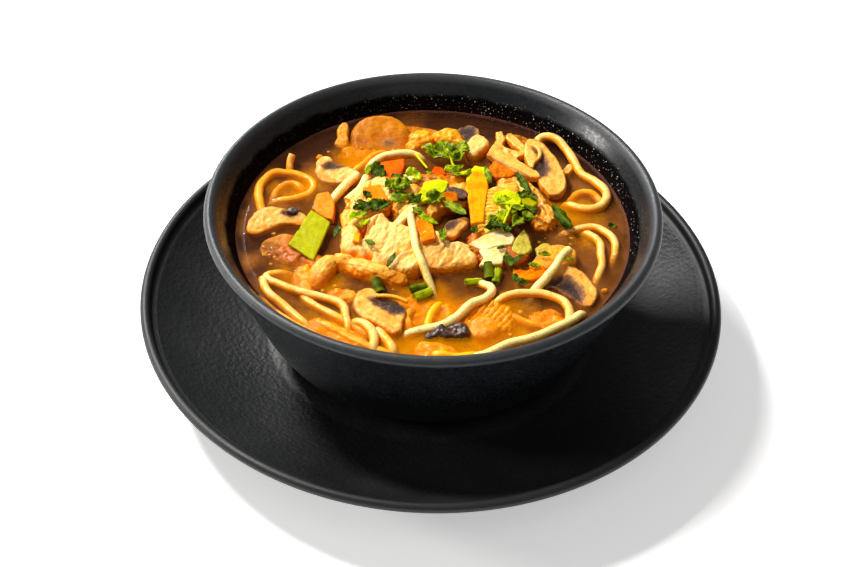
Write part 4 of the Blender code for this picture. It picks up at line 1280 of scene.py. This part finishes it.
def make_odd_cuts(cuts):
    """The cuts that each have their own edge, voxels and reliefs."""
    for name, *sizes, finish, nodes in cuts:
        piece = cut(*sizes)
        if name == "stem_slice":
            groove(piece, [(28, 48), (30, 45), (33, 46), (34, 43)], 1.0, 1.2)
            paint_cut(piece, skin=[(22, 44), (27, 37), (33, 32), (39, 27)])
        elif name == "round_cap":
            # painted shade: the round cap's lower front is darkened through the gill value
            paint(piece, "gill", lambda p: 0.52 * math.exp(
                -((p.x + 20) ** 2 / 34.0 + (p.y - 53) ** 2 / 12.0)))
            paint(piece, "skin", lambda p: 0.0)
        else:
            paint_cut(piece)
        finish_piece(piece, name, MUSHROOM[finish], "mushroom", *nodes)


def make_mushrooms():
    """The slices, the stem slice with its arms, the stem strip, the round cap and dark bits."""
    for number, (name, rim, thickness, heading, gills, skin, finish, nodes) in \
            enumerate(MUSHROOM_CUTS, 1):
        piece = cut(rim, thickness, 0.7, heading, rounds=4, reliefs=((6.0, 1.3), (1.6, 0.35)),
                    shift=(number * 5.1, number * 2.3))
        if gills:
            sink_gills(piece, gills)
        if skin:
            skin = [point[:2] for point in rim[skin[0]:skin[1] + 1]]
        paint_cut(piece, gills, skin)
        finish_piece(piece, name, MUSHROOM[finish], "mushroom", *nodes)
    make_odd_cuts(ODD_CUTS)
    for name, width, finish, points in CURLED_EDGES:
        finish_piece(strand(points, width), name, MUSHROOM[finish], "mushroom")
    make_odd_cuts(DARK_CUTS)
    piece = lump(-56, 3, 3.8, 6.0, 3.4, 3.4, 6)
    dense(0.35)
    keep_local_map(piece)
    relief(2.2, 0.9)
    paint_cut(piece)
    finish_piece(piece, "dark_gills_left", MUSHROOM["dark"], "mushroom")


# ------------------------------------------------------- vegetables and chives

# name, rim, thickness, heading, sharp corners, finish, slot, nodes
VEGETABLE_CUTS = [
    ("leek_rhombus",
     [(-49, 3, 4.0), (-40.5, -4.5, 3.8), (-43, -16, 3.2), (-45.5, -26.5, 2.8), (-56, -17.5, 2.6),
      (-52, -6, 3.4)], 1.4, 74, (0, 1, 3, 4), "leek", "leek", ("leek_square",)),
    ("leek_ribbon",
     [(-4, 20, 6.2), (2, 22, 6.4), (6, 20, 6.6), (4, 12, 7.4), (-1, 7, 7.8), (-7, 3, 8.0), (-9, 5, 7.8),
      (-6, 12, 7.0)], 1.8, 58, (0, 2, 5, 6), "leek_light", "leek", ("leek_strip",)),
    ("leek_piece_back",
     [(13, 23, 5.0), (14, 30, 4.4), (17, 35, 3.8), (21, 34, 3.8), (24, 28, 4.4), (21, 21, 5.2)],
     2.4, 50, (0, 2, 3, 5), "leek_light", "leek", ("leek_light",)),
    ("leek_white_strip",
     [(-16, -9, 8.0), (-14, -11, 8.1), (-8, -2, 8.2), (-6, 3, 8.2), (-9, 3, 8.1), (-12, -2, 8.1)],
     2.4, 57, (0, 1, 3, 4), "onion", "onion", ("leek_white",)),
    ("carrot_wedge",
     [(16, 28, 6.4), (20, 26, 6.6), (22, 20, 7.0), (21, 8, 7.2), (20, -5, 6.2), (15, -6, 6.0),
      (14, 8, 6.8), (13, 18, 6.6)], 3.6, 92, (0, 4, 5), "yellow", "carrot", ("yellow_wedge",)),
    ("carrot_leaning",
     [(-7, -8.4, 8.5), (-5, -7.4, 8.6), (0, -9.6, 8.6), (1.4, -18, 8.2), (-3.8, -20, 8.1),
      (-5.5, -14, 8.4)], 2.4, 100, (0, 2, 3, 4), "gold", "carrot", ("carrot_centre",)),
    ("carrot_upright",
     [(-48, 15, 2.4), (-43, 16, 2.8), (-40, 8, 3.4), (-40, -2, 3.2), (-44, 0, 2.6), (-49, 6, 2.2)],
     3.0, 96, (0, 1, 3, 5), "gold", "carrot", ("carrot_left",)),
    ("carrot_block", [(-29, 15, 6.2), (-22, 17, 6.8), (-18, 6, 7.2), (-25, 4, 7.0)], 3.6, 112, "all",
     "gold", "carrot", ("carrot_heap",)),
    ("carrot_back_piece",
     [(23, 35, 3.6), (26, 39, 3.8), (31, 37, 4.0), (34, 29, 4.4), (30, 27, 4.4), (24, 28, 4.2)],
     3.0, 60, (0, 2, 3), "deep", "carrot", ("carrot_back",)),
    ("carrot_middle",
     [(2, 9, 7.4), (5, 12.5, 7.4), (9.5, 12, 7.2), (10, 7, 7.0), (5, 6, 7.2)], 2.4, 30, (0, 2, 3),
     "deep", "carrot", ()),
    ("carrot_fleck",
     [(-30.5, -15, 8.0), (-28, -16, 8.2), (-28, -21, 7.6), (-31, -20, 7.4)], 1.2, 80, "all", "yellow",
     "carrot", ()),
    ("carrot_sliver",
     [(31, -27, 2.2), (36, -28, 2.4), (43, -25, 2.8), (44, -30, 2.0), (38, -33, 1.6), (32, -31, 1.8)],
     2.4, 0, (0, 2, 3), "carrot", "carrot", ("carrot_front",)),
    ("pepper_triangle",
     [(-25, 36, 2.2), (-19, 38, 3.0), (-13, 39, 3.6), (-12.6, 34, 4.0), (-14.5, 26, 4.6),
      (-18, 23, 4.8), (-22, 27, 4.2)], 3.2, -92, (0, 2), "pepper", "pepper", ("pepper_red",)),
    ("pepper_chip",
     [(0, 34, 3.6), (3, 33, 3.8), (5, 28, 4.2), (1, 26, 4.2), (-1, 29, 4.0)], 2.6, 100, (0, 2),
     "pepper", "pepper", ("pepper_small",)),
    ("onion_leaf_upper",
     [(14, -16, 4.2), (19, -12, 4.8), (24, -9, 5.2), (29, -8, 5.4), (32, -12, 5.2), (31, -16, 4.8),
      (26, -17, 4.6), (20, -19, 4.2)], 2.0, 24, (0, 3, 5), "onion", "onion", ("onion_upper",)),
    ("onion_leaf_lower",
     [(18, -19, 4.0), (24, -17, 4.4), (29, -18, 4.4), (27, -26, 3.2), (18, -27, 2.8), (20, -23, 3.4)],
     2.0, -8, "all", "onion", "onion", ("onion_lower",)),
    ("onion_leaf_right",
     [(31, -17, 4.2), (33, -12, 4.8), (36, -7, 5.2), (38, -12, 4.4), (39, -17, 3.6), (36, -20, 3.0),
      (33, -20, 3.4)], 2.2, 78, (2, 4), "onion_green", "onion", ("onion_right",)),
    ("lime_bulb",
     [(25, 12, 7.6), (29, 14, 8.0), (34, 12, 8.0), (35, 6, 7.8), (31, 3, 7.8), (27, 5, 7.8),
      (24, 8, 7.6)], 2.8, 20, (2, 5), "leek_light", "leek", ()),
    ("lime_end",
     [(34, 13, 7.2), (38, 14, 7.0), (42, 9, 6.4), (40, 5, 6.6), (35, 7, 7.4)], 2.6, -40, (1, 3), "leek",
     "leek", ()),
    ("lime_chip", [(28, 5, 8.4), (32, 8, 8.6), (35, 4, 8.4), (30, 0, 8.2)], 2.0, -40, "all",
     "leek_light", "leek", ()),
    ("pale_chip", [(-13, 24, 6.4), (-9, 26, 6.4), (-7, 21, 6.8), (-11, 19, 6.8)], 2.2, 40, "all",
     "onion", "onion", ()),
    ("onion_shred", [(20, -7, 5.0), (25, -4, 5.4), (26, -7, 5.4), (21, -10, 5.0)], 1.6, 30, "all",
     "onion_green", "onion", ()),
    ("cabbage_edge",
     [(40, -16, 3.0), (45, -13, 3.2), (47, -17, 2.8), (43, -22, 2.4)], 1.8, 60, (0, 2), "onion_green",
     "onion", ()),
]

ROUGH_CUTS = ("carrot_back_piece", "carrot_leaning", "carrot_sliver", "onion_leaf_right")


def make_vegetables():
    """Leek, carrot, pepper and onion pieces, each cut along its rim with a knife."""
    for name, rim, thickness, heading, corners, finish, slot, nodes in VEGETABLE_CUTS:
        rough = name in ROUGH_CUTS
        piece = cut(rim, thickness, min(0.35, thickness * 0.3), heading, corners, 0.36,
                    reliefs=((6.0, 1.6), (1.8, 0.7)) if rough else ((6.0, 0.8), (1.8, 0.2)))
        finish_piece(piece, name, VEGETABLE[finish], slot, *nodes)


def chive_tube(length, width):
    """A short hollow length of green onion, a little flattened, top at zero."""
    fresh()
    bpy.ops.mesh.primitive_cylinder_add(vertices=40, radius=width * 0.5 * MM,
                                        depth=length * MM, end_fill_type="NOTHING",
                                        rotation=(0, math.pi / 2, 0))
    piece = bpy.context.object
    set_down(piece, (0, 0, 0))
    start_edit()
    bpy.ops.mesh.subdivide(number_cuts=6)
    end_edit()
    resize(1, 1, 0.78)
    apply("SOLIDIFY", thickness=0.75 * MM, offset=-1.0)
    weld()
    round_edges(0.15, 2, 50)
    keep_local_map(piece)
    relief(2.6, 0.5)
    set_down(piece, (0, 0, -width * 0.4))
    return piece


# name, place, (length, width), heading, pitch, finish, nodes
CHIVE_TUBES = [
    ("front", (-3, -42, 2.3), (7.0, 4.0), 28, 4, "chive_light", ("chive_front",)),
    ("left", (-20, -40, 4.0), (7.0, 4.0), -72, -6, "chive", ("chive_left",)),
    ("ring", (22, -29, 3.2), (7.5, 4.2), -84, -10, "chive", ("chive_ring",)),
    ("right", (16, -34, 1.8), (6.5, 3.2), 8, 0, "chive_light", ("chive_right",)),
    ("second", (-5, -39, 2.6), (6.5, 3.2), 20, 4, "chive", ()),
    ("curl", (25, -31, 2.4), (7.0, 3.2), -100, -6, "chive_light", ()),
]


def make_chives():
    """Cut lengths of green onion."""
    for name, where, size, heading, pitch, finish, nodes in CHIVE_TUBES:
        piece = chive_tube(*size)
        lay(piece, where, heading, pitch)
        finish_piece(piece, f"chive_tube_{name}", VEGETABLE[finish], "chive", *nodes)


# ----------------------------------------------------------------------- herbs

# half outlines, stalk end at 0 and tip at 1
LEAF_EDGES = {
    "leaf": [(0.0, 0.02), (0.12, 0.10), (0.16, 0.33), (0.29, 0.42), (0.37, 0.24), (0.48, 0.22),
             (0.56, 0.37), (0.68, 0.36), (0.72, 0.19), (0.84, 0.21), (0.92, 0.11), (1.0, 0.0)],
    "fan": [(0.0, 0.03), (0.20, 0.12), (0.40, 0.30), (0.62, 0.45), (0.70, 0.33), (0.86, 0.36),
            (0.88, 0.20), (1.0, 0.12), (0.95, 0.0)],
    "bit": [(0.0, 0.04), (0.16, 0.24), (0.40, 0.33), (0.48, 0.25), (0.66, 0.30), (0.76, 0.18),
            (0.92, 0.15), (1.0, 0.0)],
}
LEAF_MIDDLE = 0.45                     # where a leaf's outline is spread from
LEAF_THICK, BLADE_THICK = 0.26, 0.28
STALK_WIDTH = 1.0


def reach_of(outline, ray):
    """How far a ray from the leaf's middle runs to the outline."""
    edge = 0.5
    for a, b in zip(outline, outline[1:] + outline[:1]):
        ax, ay, bx, by = a[0] - LEAF_MIDDLE, a[1], b[0] - a[0], b[1] - a[1]
        cross = ray[0] * by - ray[1] * bx
        if abs(cross) < 1e-9:
            continue
        far = (ax * by - ay * bx) / cross
        along = (ax * ray[1] - ay * ray[0]) / cross
        if far > 0 and -1e-6 <= along <= 1 + 1e-6:
            edge = far
    return edge


def leaf(kind, length, narrow, bend, crumple, seed):
    """A herb leaflet, stalk end at the origin and tip towards +X, gently curled."""
    half = LEAF_EDGES[kind]
    outline = half + [(x, -y * 0.9) for x, y in reversed(half[1:-1])]
    veins = [((0.0, 0.0), (1.0, 0.0))]
    for side in (1, -1):
        veins += [((0.08, 0.0), (0.24, 0.34 * side)), ((0.30, 0.0), (0.60, 0.34 * side)),
                  ((0.60, 0.0), (0.82, 0.18 * side))]
    fresh()
    bpy.ops.mesh.primitive_circle_add(vertices=96, radius=1.0, fill_type="TRIFAN")
    piece = bpy.context.object
    start_edit()
    bpy.ops.mesh.subdivide(number_cuts=4)
    end_edit()
    values = new_values(piece, "vein")
    for vertex in piece.data.vertices:
        angle = math.atan2(vertex.co.y, vertex.co.x)
        ray = (math.cos(angle), math.sin(angle))
        reach = reach_of(outline, ray) * min(math.hypot(vertex.co.x, vertex.co.y), 1.0)
        x, y = LEAF_MIDDLE + ray[0] * reach, ray[1] * reach
        rib = min(near_line((x, y), line) for line in veins)
        values[vertex.index].value = max(0.0, 1.0 - rib / 0.05)
        lift = noise.noise(Vector((x * 3.0 + seed, y * 3.0, seed * 2.0)))
        fine = noise.noise(Vector((x * 8.0 + seed, y * 8.0, seed)))
        rise = lift * crumple * 0.30 + fine * crumple * 0.07 + 0.35 * abs(y)
        vertex.co = Vector((x * length, y * length * narrow, rise * length)) * MM
    keep_local_map(piece)
    apply("SOLIDIFY", thickness=LEAF_THICK * MM, offset=0.0)
    curl(bend)
    return piece


def blade(length, width, bend, seed):
    """A narrow pointed piece of leaf from the origin towards +X."""
    fresh()
    bpy.ops.mesh.primitive_grid_add(x_subdivisions=24, y_subdivisions=6, size=1.0)
    piece = bpy.context.object
    values = new_values(piece, "vein")
    for vertex in piece.data.vertices:
        along, across = vertex.co.x + 0.5, vertex.co.y
        values[vertex.index].value = max(0.0, 1.0 - abs(across) * 8)
        wide = width * math.sin(math.pi * min(max(along, 0.04), 0.96)) ** 0.7
        edge = 1.0 + 0.12 * math.sin(along * 19 + seed * 3)
        rise = abs(across) * 0.5 * wide + 0.7 * noise.noise(Vector((along * 3, across * 2, seed)))
        vertex.co = Vector((along * length, across * wide * edge, rise)) * MM
    keep_local_map(piece)
    apply("SOLIDIFY", thickness=BLADE_THICK * MM, offset=0.0)
    weld(0.005)
    curl(bend)
    return piece


# kind, stalk end, tip, height, narrowness, roll, finish
HERBS = [
    ("leaf", 7, 38, -6, 46, 3.2, 0.95, 8, "green"), ("leaf", 7, 38, 2, 51, 3.8, 0.9, -6, "green"),
    ("leaf", 7, 38, 13, 50, 3.6, 1.0, -12, "green"), ("bit", -27, 31, -20, 25, 5.2, 1.1, 30, "dark"),
    ("blade", -28, 24, -27, 31, 5.6, 0.3, 20, "light"), ("leaf", -19, 12, -9, 19, 7.8, 1.1, 6, "green"),
    ("bit", -17, 8, -9, 10, 7.8, 0.9, -10, "green"), ("bit", -12, 26, -5, 20, 7.0, 0.9, 12, "light"),
    ("bit", -18, 21, -13, 24, 7.0, 1.0, -14, "dark"), ("bit", -3, 6, 1, 11, 9.0, 0.8, 10, "green"),
    ("leaf", 3, 10, -2, 1, 8.8, 0.8, -16, "green"), ("bit", -6, 3, -9, 8, 8.4, 1.0, 10, "dark"),
    ("bit", 4, 29, 10, 32, 5.4, 0.8, 10, "light"), ("bit", 8, 25, 14, 30, 5.6, 0.7, -16, "light"),
    ("blade", 21, 30, 23, 20, 7.0, 0.26, 16, "green"), ("blade", -4, 26, 0, 25, 6.2, 0.4, 6, "green"),
    ("fan", -27, 5, -27, 11, 7.4, 0.8, 18, "dark"), ("bit", -32, 0, -28, 2, 6.8, 1.2, 10, "dark"),
    ("fan", -28, 3, -20, 0, 7.6, 0.9, 14, "dark"), ("bit", -33, -8, -26, -3, 7.8, 0.8, -12, "light"),
    ("blade", -29, -12, -25, -7, 8.0, 0.42, 10, "light"), ("bit", -22, 1, -17, 3, 7.8, 1.1, -10, "green"),
    ("bit", -4, -5, -8, 0, 8.6, 1.1, 8, "green"), ("blade", -6, -5, 2, -9, 8.8, 0.3, 14, "light"),
    ("bit", 4, -12, 4, -19, 8.2, 0.75, 12, "green"), ("blade", 4, 5, 13, -3, 8.0, 0.36, 14, "green"),
    ("blade", -37, -9, -38, -17, 5.8, 0.32, 8, "dark"),
    ("blade", -26, -20, -22, -23, 8.0, 0.5, 10, "green"),
    ("blade", -14, -26, -17, -33, 7.0, 0.3, 12, "dark"), ("fan", 24, 4, 31, 8, 8.8, 0.9, 12, "light"),
    ("fan", 25, -7, 30, 0, 8.6, 0.9, 10, "light"), ("bit", 30, -2, 36, 4, 9.0, 0.9, -12, "light"),
    ("bit", 21, -4, 27, -7, 8.2, 1.0, 10, "green"), ("fan", 31, -10, 35, -4, 8.2, 0.9, 16, "green"),
    ("bit", 34, -3, 39, -5, 7.6, 1.0, -10, "dark"), ("bit", 25, -9, 31, -11, 7.6, 0.9, 12, "dark"),
    ("bit", 33, 10, 39, 13, 7.6, 0.8, 12, "dark"), ("blade", 38, 12, 42, 9, 7.4, 0.5, 10, "dark"),
    ("bit", 36, 4, 41, 0, 7.6, 0.9, -18, "dark"), ("bit", 16, -12, 17, -7, 6.6, 1.0, 10, "dark"),
    ("fan", 20, -10, 26, -7, 7.0, 0.8, 14, "dark"), ("blade", 34, 27, 39, 15, 6.8, 0.26, 14, "dark"),
    ("blade", 48, 9, 55, -4, 4.4, 0.3, 12, "dark"), ("bit", 28, -22, 31, -28, 4.4, 0.9, 10, "dark"),
    ("bit", 31, -27, 35, -21, 4.6, 0.8, -14, "dark"), ("bit", 31, -32, 33, -37, 3.2, 0.8, 14, "dark"),
    ("bit", 33, -37, 37, -34, 3.0, 1.0, 10, "dark"), ("bit", 37, -27, 42, -27, 3.8, 0.8, 10, "green"),
    ("blade", 41, -21, 46, -22, 4.6, 0.45, 10, "green"),
    ("blade", 50, -25, 55, -25, 5.6, 0.42, -10, "green"), ("bit", 70, 2, 74, 1, 1.0, 0.9, 10, "dark"),
    ("bit", 25, -20, 28, -18, 5.4, 0.8, -10, "dark"), ("fan", -23, -2, -17, 3, 8.2, 1.0, -12, "dark"),
    ("leaf", -27, -3, -29, 6, 8.2, 1.1, 12, "dark"), ("bit", -18, 5, -11, 5, 8.4, 1.2, 8, "green"),
    ("leaf", -19, 17, -12, 10, 8.0, 1.1, -8, "green"), ("blade", 6, 27, 12, 32, 6.0, 0.35, 8, "green"),
    ("blade", 9, 24, 15, 30, 6.4, 0.35, -8, "light"), ("fan", 29, 2, 36, 0, 9.4, 0.9, -14, "green"),
    ("bit", 35, -1, 40, -4, 8.4, 1.0, 10, "green"), ("bit", 22, -8, 29, -9, 8.0, 0.9, -10, "dark"),
    ("blade", -10, 2, -5, 8, 8.8, 0.4, 10, "dark"),
]

STALKS = [[(5, 45, 4.2), (6, 41, 4.2), (8, 35, 3.0), (10, 30, 3.6)],
          [(-8, 43, 2.6), (-6, 39, 2.6), (-3, 34, 2.2)],
          [(-26, 6, 7.4), (-24, 3, 8.0), (-20, -1, 7.6)],
          [(27, -10, 7.0), (29, -4, 8.6), (31, 2, 9.2)]]
# x, y, height, size
CRUMBS = [(-49, 42, 1.4, 3.2), (66, -36, 0.7, 3.0), (-47, 38, 2.6, 1.6)]


def make_herbs():
    """Parsley leaves and shreds over the heap, the thin stalks and stray bits."""
    for number, (kind, x, y, tip_x, tip_y, height, narrow, roll, finish) in enumerate(HERBS):
        length = math.hypot(tip_x - x, tip_y - y)
        heading = math.degrees(math.atan2(tip_y - y, tip_x - x))
        if kind == "blade":
            piece = blade(length, length * narrow, CHANCE.uniform(5, 30), number * 1.3)
        else:
            piece = leaf(kind, length, narrow, CHANCE.uniform(-10, 35), CHANCE.uniform(0.5, 1.0),
                         number * 1.7)
        lay(piece, (x, y, height), heading, CHANCE.uniform(-6, 6), roll)
        finish_piece(piece, f"herb_{kind}_{number}", PARSLEY[finish], "chive")
    for number, points in enumerate(STALKS):
        finish_piece(strand(points, STALK_WIDTH, ends=False), f"herb_stalk_{number}",
                     VEGETABLE["leek_light"], "chive")
    crumbs = []
    for x, y, height, size in CRUMBS:
        crumbs.append(lump(x, y, height, size, size * 0.8, size * 0.8, 20.0))
        relief(1.5, 0.5)
        keep_local_map(crumbs[-1])
    crumbs = join(crumbs)
    paint_hollows(crumbs)
    finish_piece(crumbs, "stray_crumbs", CHICKEN["gold"], "chicken")


# -------------------------------------------------------- where the broth meets food

# (distance from the wall, rise) of the broth's edge
WALL_CLIMB = ((3.0, 0.0), (2.0, 0.01), (1.5, 0.04), (1.1, 0.09), (0.8, 0.16), (0.5, 0.26),
              (0.25, 0.40))
TOP_EDGE = 0.6                         # rise of the broth where it meets the wall
CLIMB, CLIMB_REACH = 0.55, 0.75        # rise at a piece, and how fast it falls off
SWELL, RIPPLE = 0.10, 0.03
# x, y, spread and number of drops
DROP_SPOTS = ((-62, -20, 9, 16), (-20, -40, 22, 14), (50, -8, 14, 12), (-40, 50, 14, 10),
              (30, -58, 20, 12), (60, 40, 10, 6))
OPEN_BROTH = 75                        # drops lie within this radius


def waterline():
    """Points along which the pieces cut the broth's surface, in metres."""
    level = BROTH * MM
    points = []
    for piece in bpy.context.scene.objects:
        if piece.type != "MESH" or piece.hide_render or "broth" in piece.name or \
                piece.name in ("flared_bowl", "round_plate"):
            continue
        coords = [vertex.co for vertex in piece.data.vertices]
        for edge in piece.data.edges:
            a, b = coords[edge.vertices[0]], coords[edge.vertices[1]]
            if (a.z > level) != (b.z > level):
                points.append(a.lerp(b, (level - a.z) / (b.z - a.z)))
    return points


def make_broth_surface():
    """The broth's wet top: it climbs the wall and every piece that stands out of it."""
    edge = wall_radius(BROTH)
    rows = [(radius * 0.7, BROTH) for radius in range(0, 104)]
    rows += [(edge - inward, BROTH + rise) for inward, rise in WALL_CLIMB]
    rows.append((wall_radius(BROTH + TOP_EDGE) - 0.04, BROTH + TOP_EDGE))
    top = turned(rows, 420)
    points = waterline()
    tree = kdtree.KDTree(len(points))
    for number, point in enumerate(points):
        tree.insert((point.x, point.y, 0.0), number)
    tree.balance()
    for vertex in top.data.vertices:
        far = tree.find((vertex.co.x, vertex.co.y, 0.0))[2] / MM
        place = vertex.co / MM
        swell = SWELL * noise.noise(place * 0.10) + RIPPLE * noise.noise(place * 0.4)
        off_wall = clamp((edge - vertex.co.xy.length / MM) / 6.0)
        vertex.co.z += (CLIMB * math.exp(-(far / CLIMB_REACH)) + swell * off_wall) * MM
    tint_broth(top)
    finish_piece(top, "broth_surface", broth_surface_finish(), "broth")


def make_drops():
    """Small drops of oil on the broth."""
    drops = []
    for middle_x, middle_y, spread, count in DROP_SPOTS:
        for _ in range(count):
            x = middle_x + CHANCE.gauss(0, spread * 0.5)
            y = middle_y + CHANCE.gauss(0, spread * 0.5)
            if math.hypot(x, y) > OPEN_BROTH:
                continue
            radius = CHANCE.uniform(0.35, 1.0)
            fresh()
            bpy.ops.mesh.primitive_uv_sphere_add(segments=16, ring_count=8, radius=radius * MM)
            drop = bpy.context.object
            drop.scale = (1, 1, 0.35)
            set_down(drop, (x, y, BROTH))
            drops.append(drop)
    finish_piece(join(drops), "oil_drops", drop_finish(), "broth")


# ----------------------------------------------------------------- room and view

# name, place, size in m, power in W, colour
LAMPS = [("key_left", (-0.55, 0.25, 0.92), 0.15, 12.5, (1.0, 0.97, 0.92)),
         ("low_left", (-1.40, 0.06, 0.50), 0.24, 8.0, (1.0, 0.98, 0.95)),
         ("soft_front", (0.25, -0.75, 1.25), 0.9, 2.6, (1.0, 0.99, 0.97)),
         ("sheen_back", (-0.66, 1.05, 0.86), 0.40, 17.0, (1.0, 1.0, 1.0))]
LAMP_AIM = Vector((0, 0, 0.05))
SKY_LIGHT = 0.16
FLOOR_SIDE = 6.0                       # in m
CAMERA_PLACE = (0.0, -0.3903, 0.3850)
CAMERA_TURN, CAMERA_TILT, CAMERA_ROLL = 0.38, 47.44, 1.44
LENS, SENSOR = 53.65, 36.0


def make_room():
    """A pale floor, soft lamps and the camera."""
    fresh()
    bpy.ops.mesh.primitive_plane_add(size=FLOOR_SIDE)
    floor = bpy.context.object
    floor.name = "pale_floor"
    floor.data.materials.append(floor_finish())
    world = bpy.data.worlds.new("soft_room")
    bpy.context.scene.world = world
    world.use_nodes = True
    sky = world.node_tree.nodes["Background"].inputs
    sky["Color"].default_value = (1.0, 1.0, 1.0, 1.0)
    sky["Strength"].default_value = SKY_LIGHT
    for name, place, size, power, colour in LAMPS:
        bpy.ops.object.light_add(type="AREA", location=place)
        lamp = bpy.context.object
        lamp.name = name
        lamp.data.shape = "DISK"
        lamp.data.size = size
        lamp.data.energy = power
        lamp.data.color = colour
        aim = LAMP_AIM - Vector(place)
        lamp.rotation_euler = aim.to_track_quat("-Z", "Y").to_euler()
    bpy.ops.object.camera_add(location=CAMERA_PLACE)
    camera = bpy.context.object
    camera.rotation_mode = "QUATERNION"
    tilt = Euler((math.radians(CAMERA_TILT), 0, 0)).to_quaternion()
    camera.rotation_quaternion = (turn_of(CAMERA_TURN).to_quaternion() @ tilt
                                  @ turn_of(CAMERA_ROLL).to_quaternion())
    camera.data.lens = LENS
    camera.data.sensor_width = SENSOR
    camera.data.clip_start = 0.01
    bpy.context.scene.camera = camera
    bpy.context.scene.view_settings.view_transform = "Standard"


for make in (make_plate, make_bowl, make_broth, make_noodles, make_chicken, make_mushrooms,
             make_vegetables, make_chives, make_herbs, make_broth_surface, make_drops, make_room):
    make()

fresh()
